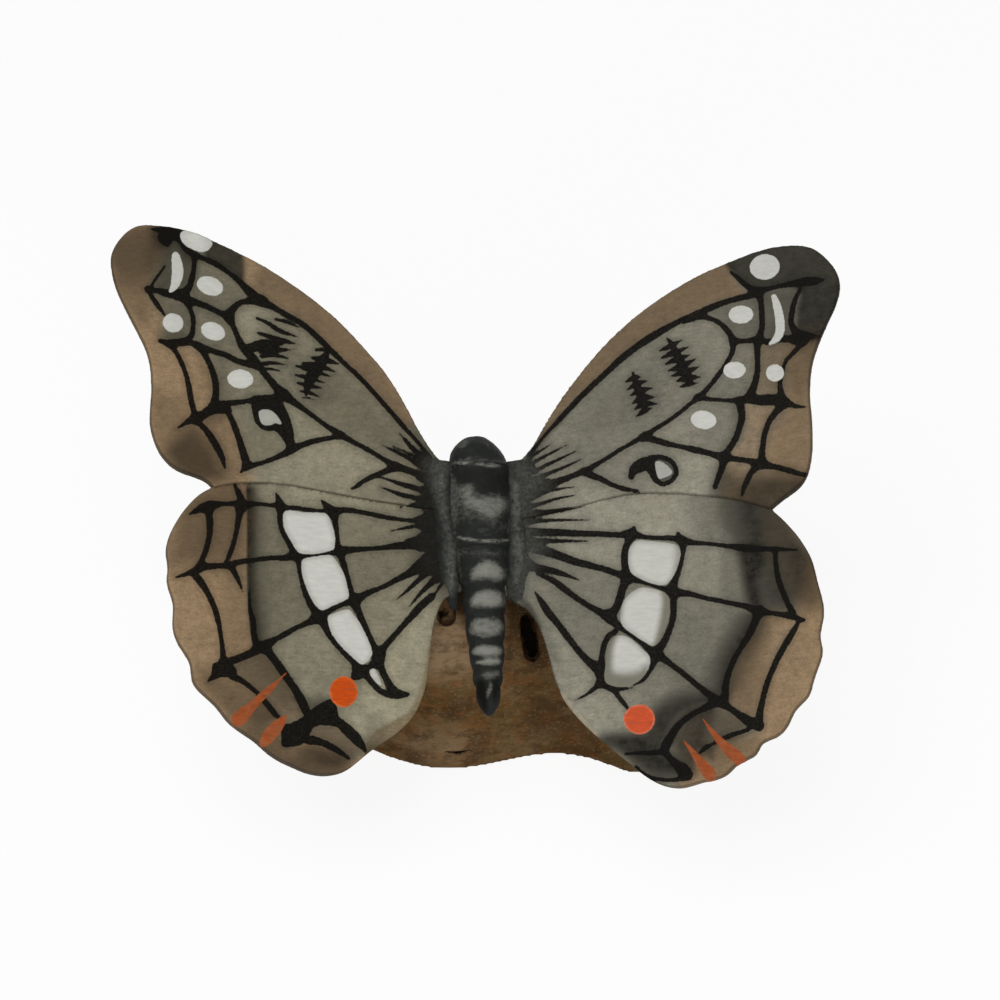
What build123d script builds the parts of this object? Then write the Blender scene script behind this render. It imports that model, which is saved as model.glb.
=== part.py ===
from build123d import *
import math
import os

# A carved and painted wooden butterfly perched on a block of rough wood.
# Lengths are millimetres and angles are degrees.
# The part's frame has X to the right, Y to the back and Z up, with its origin on the underside of the base.
# The butterfly is drawn in its own frame, with X to its right, Y to its head and Z out of its back.

# Stance of the butterfly on its base
SEAT_HEIGHT = 33.8
SEAT_BACK = 4.9
BODY_PITCH = 25.0
BODY_YAW = 2.5

# Glue lines and cuts
GLUE_GAP = 0.05
DOWEL_CLEARANCE = 0.05

# Thorax, a barrel with a flat seat under it
THORAX_FRONT = 5.4
THORAX_REAR = 8.0
THORAX_RADIUS = 5.2
NECK_RADIUS = 4.9
WAIST_RADIUS = 4.7
SEAT_FLAT_DEPTH = 0.6

# Head, a plain dome
HEAD_LENGTH = 5.9
HEAD_PROFILE_SHARES = [(1.0, 0.0), (0.97, 0.3), (0.76, 0.68), (0.45, 0.93), (0.0, 1.0)]

# Abdomen, a row of swollen rings that ends in a blunt tip
ABDOMEN_LENGTH = 27.8
TIP_RADIUS = 0.7
TIP_SWELL = 0.7
RING_GROOVE_DEPTH = 0.35
RING_GROOVE_SHARES = [0.0, 0.24, 0.4, 0.57, 0.73, 0.83, 1.0]
ABDOMEN_TAPER_SHARES = [1.0, 0.78, 0.69, 0.59, 0.48, 0.4, 0.0]

# Dowels between the body pieces
BODY_DOWEL_DIAMETER = 3.0
BODY_DOWEL_LENGTH = 7.0

# Peg that carries the butterfly
PEG_DIAMETER = 4.0
PEG_IN_BODY = 5.1
PEG_IN_BASE = 15.0
PEG_BEHIND = 1.2

# Wing boards, curved up towards their tips
FORE_REACH = 62.0
FORE_RISE = 44.0
HIND_REACH = 56.0
HIND_DROP = 48.0
WING_ROOT_THICKNESS = 3.4
WING_TIP_THICKNESS = 1.6
WING_SAG = 1.8
WING_TILT = 15.0
WING_ROOT_HEIGHT = 0.7
WING_STEP = 0.45
SLAB_SHARE = 1.05
ROOT_INSET_SHARE = 0.5
ROOT_FRONT_SHARE = 0.15
ROOT_REAR_SHARE = 0.31

# Outer edge of each forewing, from its root round its tip to the notch, as shares of its reach and rise
FORE_LEFT_EDGE_SHARES = [
    (0.11, 0.16), (0.16, 0.258), (0.24, 0.458), (0.32, 0.59), (0.41, 0.71), (0.52, 0.82), (0.645, 0.913),
    (0.755, 0.967), (0.825, 0.99), (0.88, 0.992), (0.937, 0.98), (0.98, 0.925), (1.0, 0.86), (0.998, 0.8),
    (0.968, 0.685), (0.888, 0.46), (0.88, 0.34), (0.882, 0.24), (0.845, 0.105), (0.81, 0.065), (0.75, 0.038),
    (0.71, 0.0),
]
FORE_RIGHT_EDGE_SHARES = [
    (0.11, 0.16), (0.135, 0.197), (0.175, 0.289), (0.216, 0.38), (0.285, 0.507), (0.354, 0.613),
    (0.437, 0.714), (0.547, 0.804), (0.657, 0.87), (0.794, 0.916), (0.85, 0.917), (0.9, 0.903), (0.946, 0.847),
    (0.971, 0.765), (0.94, 0.61), (0.9, 0.49), (0.884, 0.357), (0.885, 0.126), (0.853, -0.003),
    (0.82, -0.037), (0.773, -0.085),
]

# Seam between the two wings of a side, from the notch in to the root, as shares of the forewing's sizes
LEFT_SEAM_SHARES = [(0.71, 0.0), (0.59, 0.033), (0.4, 0.013), (0.215, -0.018), (0.107, -0.03)]
RIGHT_SEAM_SHARES = [
    (0.773, -0.085), (0.645, -0.027), (0.55, -0.005), (0.43, 0.01), (0.29, -0.02), (0.12, -0.058),
]

# Scalloped edge of each hindwing, from the notch round its lobe to its root, as shares of its reach and drop
HIND_LEFT_EDGE_SHARES = [
    (0.83, -0.03), (0.878, -0.1), (0.91, -0.18), (0.918, -0.232), (0.911, -0.283), (0.912, -0.33),
    (0.89, -0.418), (0.892, -0.466), (0.872, -0.543), (0.835, -0.614), (0.828, -0.665), (0.795, -0.71),
    (0.76, -0.744), (0.729, -0.786), (0.632, -0.864), (0.597, -0.898), (0.537, -0.932), (0.478, -0.956),
    (0.42, -0.956), (0.376, -0.937), (0.318, -0.88), (0.22, -0.79), (0.168, -0.7), (0.15, -0.62),
    (0.142, -0.55), (0.128, -0.41), (0.1, -0.34),
]
HIND_RIGHT_EDGE_SHARES = [
    (0.895, -0.122), (0.97, -0.262), (0.984, -0.332), (0.998, -0.47), (0.987, -0.53), (0.992, -0.57),
    (0.966, -0.67), (0.953, -0.719), (0.908, -0.775), (0.887, -0.82), (0.85, -0.855), (0.81, -0.875),
    (0.795, -0.904), (0.745, -0.931), (0.71, -0.966), (0.642, -0.988), (0.576, -1.005), (0.505, -0.984),
    (0.43, -0.915), (0.313, -0.793), (0.24, -0.685), (0.205, -0.56), (0.167, -0.43), (0.12, -0.365),
]

# Dowel in the root of each wing
WING_DOWEL_DIAMETER = 2.0
WING_DOWEL_LENGTH = 8.0
WING_DOWEL_IN_BODY = 3.0
FORE_DOWEL_AHEAD = 2.8
HIND_DOWEL_BEHIND = 5.2

# Filler bead along the crease between the body and the wings of a side
FILLER_LENGTH = 21.0
FILLER_RADIUS = 1.3
FILLER_FRONT = 6.4
FILLER_STAND_OFF = 0.95
FILLER_HEIGHT = 1.7
FILLER_TOE_IN = 1.6
FILLER_SWELL_SHARES = [(0.35, 0.0), (0.9, 0.12), (1.0, 0.45), (0.85, 0.85), (0.3, 1.0)]

# Base block, a lump of rough wood cut flat underneath
BASE_LENGTH = 65.0
BASE_FRONT = 24.0
BASE_BACK = 22.0
BASE_ABOVE_SEAT = 2.2
BASE_RELIEF = 0.5
# The profile runs from just below the underside at the front, over the crown, to just below it at the back
BASE_PROFILE_SHARES = [
    (-0.006, -0.03), (0.055, 0.28), (0.13, 0.53), (0.27, 0.72), (0.42, 0.85), (0.6, 0.96), (0.71, 1.0),
    (0.84, 0.92), (0.955, 0.69), (1.0, 0.33), (0.978, -0.03),
]
# Each station gives its place along the length and its front, back and height
BASE_STATION_SHARES = [
    (-0.49, 0.3, 0.5, 0.42), (-0.4, 0.7, 0.8, 0.7), (-0.22, 0.92, 0.95, 0.92), (-0.08, 1.0, 1.0, 1.0),
    (0.08, 0.92, 1.0, 1.0), (0.22, 0.875, 0.95, 0.94), (0.38, 1.02, 0.8, 0.72), (0.51, 0.5, 0.45, 0.4),
]

# Knot hole and hollow in the front of the base, placed by shares of its length, front and crown
PIT_TILT = 46.0
PIT_OVERRUN = 2.0
KNOT_WIDTH = 2.0
KNOT_LENGTH = 7.6
KNOT_DEPTH = 4.0
KNOT_LEAN = 9.0
KNOT_PLACE_SHARES = (0.126, -0.54, 0.614)
HOLLOW_WIDTH = 2.4
HOLLOW_LENGTH = 3.8
HOLLOW_DEPTH = 2.0
HOLLOW_PLACE_SHARES = (-0.085, -0.46, 0.725)

SEAT_DEPTH = THORAX_RADIUS - SEAT_FLAT_DEPTH
BASE_CROWN = SEAT_HEIGHT + BASE_ABOVE_SEAT
PITCH_SIN = math.sin(math.radians(BODY_PITCH))
PITCH_COS = math.cos(math.radians(BODY_PITCH))
BODY_Y = SEAT_BACK - SEAT_DEPTH * PITCH_SIN
BODY_Z = SEAT_HEIGHT + SEAT_DEPTH * PITCH_COS
WING_PLACE = Pos(0, 0, WING_ROOT_HEIGHT) * Rot(0, -WING_TILT, 0)
YAW = Rot(0, 0, BODY_YAW)
PERCH = Pos(0, BODY_Y, BODY_Z) * Rot(BODY_PITCH, 0, 0)


def scaled(shares, across, along):
    """Points of an outline from its shares of two sizes."""
    return [(x * across, y * along) for x, y in shares]


def spun(edges):
    """Solid turned about the body's axis from the edges of its half profile."""
    return revolve(make_face(edges), axis=Axis.Y)


def thorax_blank(grow):
    front = (NECK_RADIUS + grow, THORAX_FRONT)
    widest = (THORAX_RADIUS + grow, (THORAX_FRONT - THORAX_REAR) / 2)
    rear = (WAIST_RADIUS + grow, -THORAX_REAR)
    side = ThreePointArc(rear, widest, front)
    back = Polyline(front, (0, THORAX_FRONT), (0, -THORAX_REAR), rear)
    return spun(side + back)


def head_blank(grow):
    points = [(x + grow, THORAX_FRONT + y) for x, y in scaled(HEAD_PROFILE_SHARES, NECK_RADIUS, HEAD_LENGTH)]
    crown = (0, THORAX_FRONT + HEAD_LENGTH + grow)
    dome = Spline(*points[:-1], crown, tangents=[(0, 1), (-1, 0)])
    return spun(dome + Polyline(crown, (0, THORAX_FRONT), points[0]))


def abdomen_blank(grow):
    grooves = []
    for place_share, taper_share in zip(RING_GROOVE_SHARES, ABDOMEN_TAPER_SHARES):
        radius = TIP_RADIUS + (WAIST_RADIUS - TIP_RADIUS) * taper_share
        grooves.append((radius - RING_GROOVE_DEPTH + grow, -THORAX_REAR - place_share * ABDOMEN_LENGTH))
    first = grooves[0]
    last = grooves[-1]
    edges = Curve()
    for start, end in zip(grooves, grooves[1:]):
        swell = TIP_SWELL if end == last else RING_GROOVE_DEPTH
        middle = ((start[0] + end[0]) / 2 + swell, (start[1] + end[1]) / 2)
        edges += ThreePointArc(start, middle, end)
    edges += Polyline(last, (0, last[1]), (0, first[1]), first)
    return spun(edges)


def body_dowel(place, grow):
    """Dowel across the joint at a place along the body's axis, grown for its bore."""
    length = BODY_DOWEL_LENGTH + 2 * grow
    return Pos(0, place, 0) * Rot(90, 0, 0) * Cylinder(BODY_DOWEL_DIAMETER / 2 + grow, length)


def perch_peg(grow):
    """Peg from the thorax down into the base, grown for its bore."""
    top = PEG_IN_BODY - SEAT_DEPTH + grow
    bottom = -SEAT_DEPTH - PEG_IN_BASE - grow
    peg = Cylinder(PEG_DIAMETER / 2 + grow, top - bottom)
    return Pos(0, -PEG_BEHIND, (top + bottom) / 2) * peg


def wing_top(reach):
    """Height of a wing's upper face over its chord, at a distance from the body's axis."""
    share = reach / FORE_REACH
    return -4 * WING_SAG * share * (1 - share)


def wing_thickness(reach):
    share = reach / FORE_REACH
    return WING_ROOT_THICKNESS + (WING_TIP_THICKNESS - WING_ROOT_THICKNESS) * share


def wing_slab(drop, extra):
    """Curved board that a wing is cut from, lowered by a drop and thickened below by an extra depth."""
    end = max(FORE_REACH, HIND_REACH) * SLAB_SHARE
    places = [0, end / 2, end]
    tops = [(place, wing_top(place) - drop) for place in places]
    bottoms = [(x, z - wing_thickness(x) - extra) for x, z in tops]
    edges = ThreePointArc(*tops)
    edges += Line(tops[-1], bottoms[-1])
    edges += ThreePointArc(*reversed(bottoms))
    edges += Line(bottoms[0], tops[0])
    return extrude(Plane.XZ * make_face(edges), amount=FORE_RISE + HIND_DROP, both=True)


def wing_board(edges, drop, extra):
    """Wing cut from its slab along the edges of its outline, in place on the right-hand side."""
    plate = extrude(make_face(edges), amount=FORE_REACH, both=True)
    return WING_PLACE * (wing_slab(drop, extra) & plate)


def root_inset():
    return THORAX_RADIUS * ROOT_INSET_SHARE


def forewing_board(edge_shares, seam_shares, extra):
    edge = scaled(edge_shares, FORE_REACH, FORE_RISE)
    seam = scaled(seam_shares, FORE_REACH, FORE_RISE)
    front = (root_inset(), FORE_RISE * ROOT_FRONT_SHARE)
    rear = (root_inset(), seam[-1][1])
    edges = Spline(*edge) + Spline(*seam) + Polyline(seam[-1], rear, front, edge[0])
    return wing_board(edges, 0, extra)


def hindwing_board(edge_shares, seam_shares, extra):
    seam = scaled(seam_shares, FORE_REACH, FORE_RISE)
    edge = [seam[0]] + scaled(edge_shares, HIND_REACH, HIND_DROP)
    front = (root_inset(), seam[-1][1])
    rear = (root_inset(), -HIND_DROP * ROOT_REAR_SHARE)
    edges = Spline(*edge) + Spline(*seam) + Polyline(seam[-1], front, rear, edge[-1])
    return wing_board(edges, WING_STEP, extra)


def wing_dowel(place, drop, grow):
    """Dowel along the middle of a wing's root, grown for its bore."""
    inner = THORAX_RADIUS - WING_DOWEL_IN_BODY
    ends = [inner, inner + WING_DOWEL_LENGTH]
    heights = [wing_top(end) - drop - wing_thickness(end) / 2 for end in ends]
    slope = math.degrees(math.atan2(heights[1] - heights[0], WING_DOWEL_LENGTH))
    middle = Pos(sum(ends) / 2, place, sum(heights) / 2)
    dowel = Cylinder(WING_DOWEL_DIAMETER / 2 + grow, WING_DOWEL_LENGTH + 2 * grow)
    return WING_PLACE * middle * Rot(0, 90 - slope, 0) * dowel


def wing_boards(extra):
    """The four wings uncut by the body, the left-hand ones drawn on the right and mirrored."""
    return {
        "forewing_right": forewing_board(FORE_RIGHT_EDGE_SHARES, RIGHT_SEAM_SHARES, extra),
        "hindwing_right": hindwing_board(HIND_RIGHT_EDGE_SHARES, RIGHT_SEAM_SHARES, extra),
        "forewing_left": mirror(forewing_board(FORE_LEFT_EDGE_SHARES, LEFT_SEAM_SHARES, extra), Plane.YZ),
        "hindwing_left": mirror(hindwing_board(HIND_LEFT_EDGE_SHARES, LEFT_SEAM_SHARES, extra), Plane.YZ),
    }


def wing_dowels(grow):
    """The four wing dowels by the node of the wing that they hold."""
    fore = wing_dowel(FORE_DOWEL_AHEAD, 0, grow)
    hind = wing_dowel(-HIND_DOWEL_BEHIND, WING_STEP, grow)
    return {
        "forewing_right": fore,
        "hindwing_right": hind,
        "forewing_left": mirror(fore, Plane.YZ),
        "hindwing_left": mirror(hind, Plane.YZ),
    }


def filler_blank():
    """Spindle of filler beside the body, on the right-hand side."""
    swell = scaled(FILLER_SWELL_SHARES, FILLER_RADIUS, -FILLER_LENGTH)
    edges = Spline(*swell) + Polyline(swell[-1], (0, swell[-1][1]), (0, 0), swell[0])
    place = Pos(THORAX_RADIUS + FILLER_STAND_OFF, FILLER_FRONT, FILLER_HEIGHT)
    return place * Rot(0, 0, -FILLER_TOE_IN) * spun(edges)


def base_section(station):
    along, front_share, back_share, height_share = station
    front = -BASE_FRONT * front_share
    depth = BASE_BACK * back_share - front
    height = BASE_CROWN * height_share
    points = [(front + y, z) for y, z in scaled(BASE_PROFILE_SHARES, depth, height)]
    face = make_face(Spline(*points) + Line(points[-1], points[0]))
    return Plane.YZ.offset(BASE_LENGTH * along) * face


def base_blank():
    """Lump of wood, sawn flat along the underside."""
    lump = loft([base_section(station) for station in BASE_STATION_SHARES])
    return lump - Pos(0, 0, -BASE_LENGTH) * Box(2 * BASE_LENGTH, 2 * BASE_LENGTH, 2 * BASE_LENGTH)


def base_pit(place_shares, width, length, depth, lean):
    """Slot with rounded ends, sunk square to the front slope of the base, its top leaning to the left."""
    along, forward, up = place_shares
    slot = extrude(Rot(0, 0, 90 + lean) * SlotOverall(length, width), amount=depth + PIT_OVERRUN)
    place = Pos(along * BASE_LENGTH, forward * BASE_FRONT, up * BASE_CROWN)
    return place * Rot(PIT_TILT, 0, 0) * Pos(0, 0, -depth) * slot


def export(node, solid):
    export_step(solid, os.path.join("parts", node + ".step"))


def make_wings(boards, body_envelope, bores):
    """Wings drilled for their dowels and cut to the body."""
    wings = {}
    for node, board in boards.items():
        wings[node] = board - bores[node] - body_envelope
    return wings


def make_fillers(deep_boards, body_envelope):
    """Beads cut to the body and to the wings that they lie on."""
    bead = filler_blank()
    fillers = {"right": YAW * bead, "left": YAW * mirror(bead, Plane.YZ)}
    for side in fillers:
        fillers[side] -= body_envelope
        for pair in ("forewing_", "hindwing_"):
            fillers[side] -= Pos(0, 0, GLUE_GAP) * deep_boards[pair + side]
    return fillers


def main():
    os.makedirs("parts", exist_ok=True)

    body_envelope = YAW * (thorax_blank(GLUE_GAP) + head_blank(GLUE_GAP) + abdomen_blank(GLUE_GAP))
    dowels = wing_dowels(0)
    bores = wing_dowels(DOWEL_CLEARANCE)
    wings = make_wings(wing_boards(0), body_envelope, bores)
    fillers = make_fillers(wing_boards(WING_ROOT_THICKNESS), body_envelope)

    neck_bore = body_dowel(THORAX_FRONT, DOWEL_CLEARANCE)
    waist_bore = body_dowel(-THORAX_REAR, DOWEL_CLEARANCE)
    peg_bore = perch_peg(DOWEL_CLEARANCE)

    # Thorax, drilled for every dowel and cut flat for its seat
    seat_waste = Box(4 * THORAX_RADIUS, 4 * THORAX_REAR, 2 * THORAX_RADIUS)
    thorax = YAW * (thorax_blank(0) - neck_bore - waist_bore)
    thorax -= Pos(0, 0, -SEAT_DEPTH - THORAX_RADIUS) * seat_waste
    thorax -= peg_bore
    for bore in bores.values():
        thorax -= bore

    # Base block, cut to the seat and the peg and hollowed clear of the head and abdomen
    above_seat = Pos(0, 0, BASE_LENGTH - SEAT_DEPTH) * Box(2 * BASE_LENGTH, 2 * BASE_LENGTH, 2 * BASE_LENGTH)
    base = base_blank() - PERCH * above_seat - PERCH * peg_bore
    for blank in (head_blank(BASE_RELIEF), abdomen_blank(BASE_RELIEF)):
        base -= PERCH * (YAW * blank)
    base -= base_pit(KNOT_PLACE_SHARES, KNOT_WIDTH, KNOT_LENGTH, KNOT_DEPTH, KNOT_LEAN)
    base -= base_pit(HOLLOW_PLACE_SHARES, HOLLOW_WIDTH, HOLLOW_LENGTH, HOLLOW_DEPTH, 0)

    export("base_block", base)
    export("perch_peg", PERCH * perch_peg(0))
    export("thorax", PERCH * thorax)
    export("head", PERCH * (YAW * (head_blank(0) - neck_bore)))
    export("abdomen", PERCH * (YAW * (abdomen_blank(0) - waist_bore)))
    export("neck_dowel", PERCH * (YAW * body_dowel(THORAX_FRONT, 0)))
    export("waist_dowel", PERCH * (YAW * body_dowel(-THORAX_REAR, 0)))
    for node, wing in wings.items():
        export(node, PERCH * wing)
        export(node + "_dowel", PERCH * dowels[node])
    for side, filler in fillers.items():
        export("root_filler_" + side, PERCH * filler)


main()
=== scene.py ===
import bmesh
import bpy
import math
import numpy as np
from mathutils.bvhtree import BVHTree
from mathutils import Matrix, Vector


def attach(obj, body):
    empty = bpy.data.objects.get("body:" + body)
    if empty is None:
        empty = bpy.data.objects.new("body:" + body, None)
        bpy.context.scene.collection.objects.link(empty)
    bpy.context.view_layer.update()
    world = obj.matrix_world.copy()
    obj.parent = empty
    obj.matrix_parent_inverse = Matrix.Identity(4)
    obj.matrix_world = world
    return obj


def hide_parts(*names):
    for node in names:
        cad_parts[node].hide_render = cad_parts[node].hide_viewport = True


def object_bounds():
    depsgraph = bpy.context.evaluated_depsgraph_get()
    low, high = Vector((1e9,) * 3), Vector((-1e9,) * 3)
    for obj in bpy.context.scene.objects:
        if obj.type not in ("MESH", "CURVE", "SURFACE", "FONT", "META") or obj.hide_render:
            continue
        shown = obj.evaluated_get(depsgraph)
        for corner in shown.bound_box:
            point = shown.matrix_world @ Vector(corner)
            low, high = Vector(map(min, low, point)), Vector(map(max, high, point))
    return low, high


# A carved and painted wooden butterfly on a block of rough wood, dressed over its solids.
# Lengths are in millimetres unless a name says otherwise. The scene itself is in metres.
# Paint is placed by pixels of the photograph, projected from its camera onto the upper faces.

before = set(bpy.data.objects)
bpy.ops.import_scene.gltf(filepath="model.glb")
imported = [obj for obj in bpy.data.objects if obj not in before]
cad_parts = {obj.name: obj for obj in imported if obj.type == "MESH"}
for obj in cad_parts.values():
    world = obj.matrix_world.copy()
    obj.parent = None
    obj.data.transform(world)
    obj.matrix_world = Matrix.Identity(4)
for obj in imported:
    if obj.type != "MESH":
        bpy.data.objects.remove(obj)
CAD_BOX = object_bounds()
MM = 0.001

# Camera of the photograph
CAMERA_PLACE = (3.312, -292.302, 390.700)
CAMERA_ELEVATION = 50.0
LENS = 100.0
SENSOR = 36.0
PHOTO_WIDTH_PX = 1000

# Light and stage
WORLD_LEVEL = 0.33
KEY_WATTS = 2.4
KEY_SIZE = 500.0
KEY_PLACE = (-180.0, -60.0, 700.0)
FILL_WATTS = 1.2
FILL_SIZE = 400.0
FILL_PLACE = (80.0, -560.0, 230.0)
FLOOR_SIZE = 6000.0
FLOOR_GREY = 0.97
FLOOR_GLOW_SHARE = 0.9

# Mesh fineness of each kind of piece
WING_VOXEL = 0.23
BODY_VOXEL = 0.2
BASE_VOXEL = 0.3
SMOOTH_STEPS = 4
BASE_SMOOTH_STEPS = 9

# Carved unevenness as pairs of a wave's size and height
WING_WAVES = [(7.0, 0.12), (2.2, 0.05)]
BODY_WAVES = [(3.0, 0.12), (0.9, 0.05)]
FILLER_WAVES = [(2.6, 0.3), (1.0, 0.2)]
FILLER_SPREAD = (0.75, 0.45, 0.0)
FILLER_SINK = 1.15
FILLER_TAILS = {"left": (0.9, 4.0), "right": (0.0, 2.0)}
TAIL_SINK = 0.5
BASE_WAVES = [(11.0, 0.55), (4.0, 0.32), (1.4, 0.12)]
BASE_GRAIN_STRETCH = 3.0
BASE_FOOT = 2.0
FOOT_SWELL = 0.25
INK_RELIEF = 0.05
SPOT_RELIEF = 0.1
GROOVE_FILL = 0.3
HEAD_LEAN = 0.4
CRACK_DEPTH = 0.7
SEAM_REACH = 0.5
SEAM_LAP = 0.12

# How paint is laid, in photo pixels
FAR_PX = 70.0
PAINT_REACH_PX = 14.0
INK_WEB_PX = 4.0
RELIEF_EDGE_PX = 2.5
HEAD_LEAN_RUN_PX = (-466, -446)
FILLER_TAIL_RUN_PX = (555, 600)
DAB_RIM_PX = 3.0
DAB_SPREAD_PX = 0.2
CHALK_DIM_PX = 6.0
FADE_START_PX = 1.6
FADE_END_PX = 4.0
CURVE_STEPS = 5
OVAL_POINTS = 14

# Body pitch, which tells the upper faces of the wings from the lower ones
BODY_PITCH = 25.0
UPPER_FACE_SHARES = (-0.45, -0.1)
RIM_FACE_SHARES = (0.35, 0.8)
LEAD_FACE_SHARE = 0.5
CAMERA_FACE_SHARES = (-0.05, 0.3)

# Paint colours, as the photograph shows them, out of 255
WING_GREY_LEFT = (121, 116, 98)
WING_GREY_RIGHT = (121, 118, 105)
WING_PALE_LEFT = (163, 157, 132)
WING_PALE_RIGHT = (163, 160, 142)
WING_TAN = (144, 121, 93)
WING_BARE_LEFT = (122, 108, 82)
WING_BARE_RIGHT = (158, 148, 128)
WING_SHADE = (25, 23, 18)
INK_BLACK = (12, 10, 7)
SPOT_WHITE = (202, 202, 195)
DAB_ORANGE_LEFT = (192, 74, 20)
DAB_ORANGE_RIGHT = (198, 82, 48)
STREAK_SALMON = (152, 74, 36)
STREAK_PALE = (142, 94, 66)
DAB_PALE_LEFT = (206, 120, 66)
DAB_PALE_RIGHT = (214, 136, 104)
STREAK_COVER_SHARE = 0.97
DAB_RIM_SHARE = 0.6
RIM_SHADE_SHARE = 0.5
WING_UNDERSIDE = (104, 92, 72)
BODY_BLACK = (33, 35, 33)
BODY_GREY = (130, 130, 122)
FILLER_GREY = (46, 47, 45)
FILLER_PALE = (98, 99, 93)
BASE_BROWN = (101, 81, 48)
BASE_PALE = (156, 130, 100)
BASE_RUST = (112, 74, 36)
BASE_DARK = (58, 40, 22)
# Near black of the painted shade in the base's hollows
BASE_HOLLOW_SHADOW = (14, 8, 4)
DOWEL_PALE = (186, 150, 104)
DOWEL_DARK = (146, 108, 66)

# Black lines of each wing: points in photo pixels, each with the width of the line there
FORE_LEFT_INK = [
    [(181, 238, 9), (187, 250, 7), (200, 257, 5), (214, 263, 6), (228, 272, 5), (240, 282, 6),
     (250, 292, 9), (262, 301, 9), (275, 308, 6), (290, 317, 6), (303, 325, 6), (317, 337, 6),
     (331, 351, 6), (345, 364, 5), (360, 378, 5), (375, 394, 5), (390, 411, 5), (403, 426, 5),
     (414, 438, 4), (424, 450, 4), (434, 463, 5)],
    [(262, 301, 10), (250, 301, 7), (240, 303, 6), (233, 309, 8), (229, 316, 10), (233, 326, 6),
     (237, 336, 6), (242, 346, 8), (248, 353, 9), (256, 362, 8), (265, 374, 7), (275, 386, 8),
     (284, 395, 11), (295, 403, 7), (310, 414, 5), (325, 425, 5), (341, 435, 7), (355, 443, 5),
     (370, 451, 5), (383, 459, 5), (394, 466, 8)],
    [(229, 317, 9), (220, 313, 6), (208, 307, 6), (197, 303, 7), (187, 299, 8), (178, 296, 9)],
    [(194, 256, 6), (194, 266, 5), (192, 278, 6), (189, 287, 7), (183, 294, 9)],
    [(183, 294, 9), (170, 294, 9), (158, 291, 6), (147, 289, 3)],
    [(165, 266, 2), (160, 273, 3), (155, 280, 3), (151, 286, 3), (147, 289, 3)],
    [(147, 289, 4), (153, 299, 5), (158, 306, 5), (165, 316, 2)],
    [(185, 300, 7), (190, 309, 5), (193, 318, 5), (193, 328, 5), (191, 336, 6), (184, 340, 5),
     (174, 341, 4), (160, 341, 2)],
    [(160, 341, 3), (170, 345, 5), (180, 344, 5), (190, 343, 6), (200, 346, 6), (212, 351, 6),
     (225, 355, 6), (237, 361, 6), (248, 364, 7), (256, 366, 7)],
    [(168, 344, 4), (175, 351, 5), (181, 362, 5), (186, 375, 5), (189, 388, 6), (191, 400, 6),
     (194, 412, 6), (196, 418, 8)],
    [(197, 346, 6), (204, 354, 6), (211, 367, 6), (215, 380, 7), (216, 392, 7), (214, 404, 8)],
    [(178, 428, 2), (184, 424, 4), (193, 419, 8), (203, 413, 6), (213, 407, 8), (225, 404, 7),
     (240, 402, 5.5), (256, 400, 5), (270, 398, 5.5), (284, 395, 9)],
    [(195, 420, 7), (203, 427, 6), (211, 437, 7), (217, 447, 7), (222, 457, 6), (225, 468, 2)],
    [(224, 406, 7), (230, 416, 6), (236, 430, 6.5), (240.5, 443, 7), (244, 455, 8), (247, 465, 9)],
    [(241, 472, 3), (247, 467, 6), (258, 464, 5), (270, 460, 5), (282, 455, 6), (291, 450, 8),
     (302, 445, 6.5), (315, 441, 6), (328, 438.5, 5), (340, 436, 6)],
    [(256, 401, 9), (256, 412, 7), (258, 421, 6), (264, 427, 6), (272, 428, 5), (281, 427, 4)],
    [(256, 401, 8), (266, 401, 11), (276, 403, 10), (284, 413, 7), (288, 424, 7), (290, 436, 8),
     (291, 448, 8)],
    [(278, 430, 4), (284, 438, 4), (290, 446, 5)],
    [(394, 468, 8), (385, 471.5, 6), (374, 476, 5.5), (364, 481, 5), (357, 486, 4.5), (352, 489, 3)],
    [(432, 466, 6), (422, 456, 4), (411, 447, 3.5), (399, 433, 1)],
    [(430, 471, 6), (417, 464, 5), (406, 457, 4), (394, 451, 3), (382, 445, 1)],
    [(428, 478, 9), (412, 472, 7), (397, 467, 8)],
    [(428, 462, 3), (416, 452, 2), (406, 440, 1)],
    [(430, 465, 3), (418, 458.5, 2.5), (404, 451, 1.8), (393, 446, 1)],
    [(430, 493, 9), (416, 488.5, 6), (402, 484.5, 5), (390, 480.5, 3), (378, 477, 1)],
    [(432, 500, 8), (416, 498, 5), (402, 495, 5), (391, 491, 3), (380, 487, 1)],
    [(430, 503, 7), (416, 504, 4), (400, 508, 1)],
]
FORE_LEFT_BLOTS = [
    [(150, 229), (160, 227), (172, 226), (182, 230), (184, 240), (189, 250), (182, 246), (174, 241),
     (168, 247), (161, 244), (157, 238), (158, 233)],
    [(252, 402), (262, 400), (276, 401), (284, 410), (289, 424), (292, 440), (290, 447), (284, 438),
     (278, 431), (268, 431), (260, 428), (255, 421), (252, 411)],
    [(197, 419), (206, 411), (216, 406), (228, 403), (232, 412), (226, 414), (217, 414), (208, 417),
     (201, 422)],
]
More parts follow.
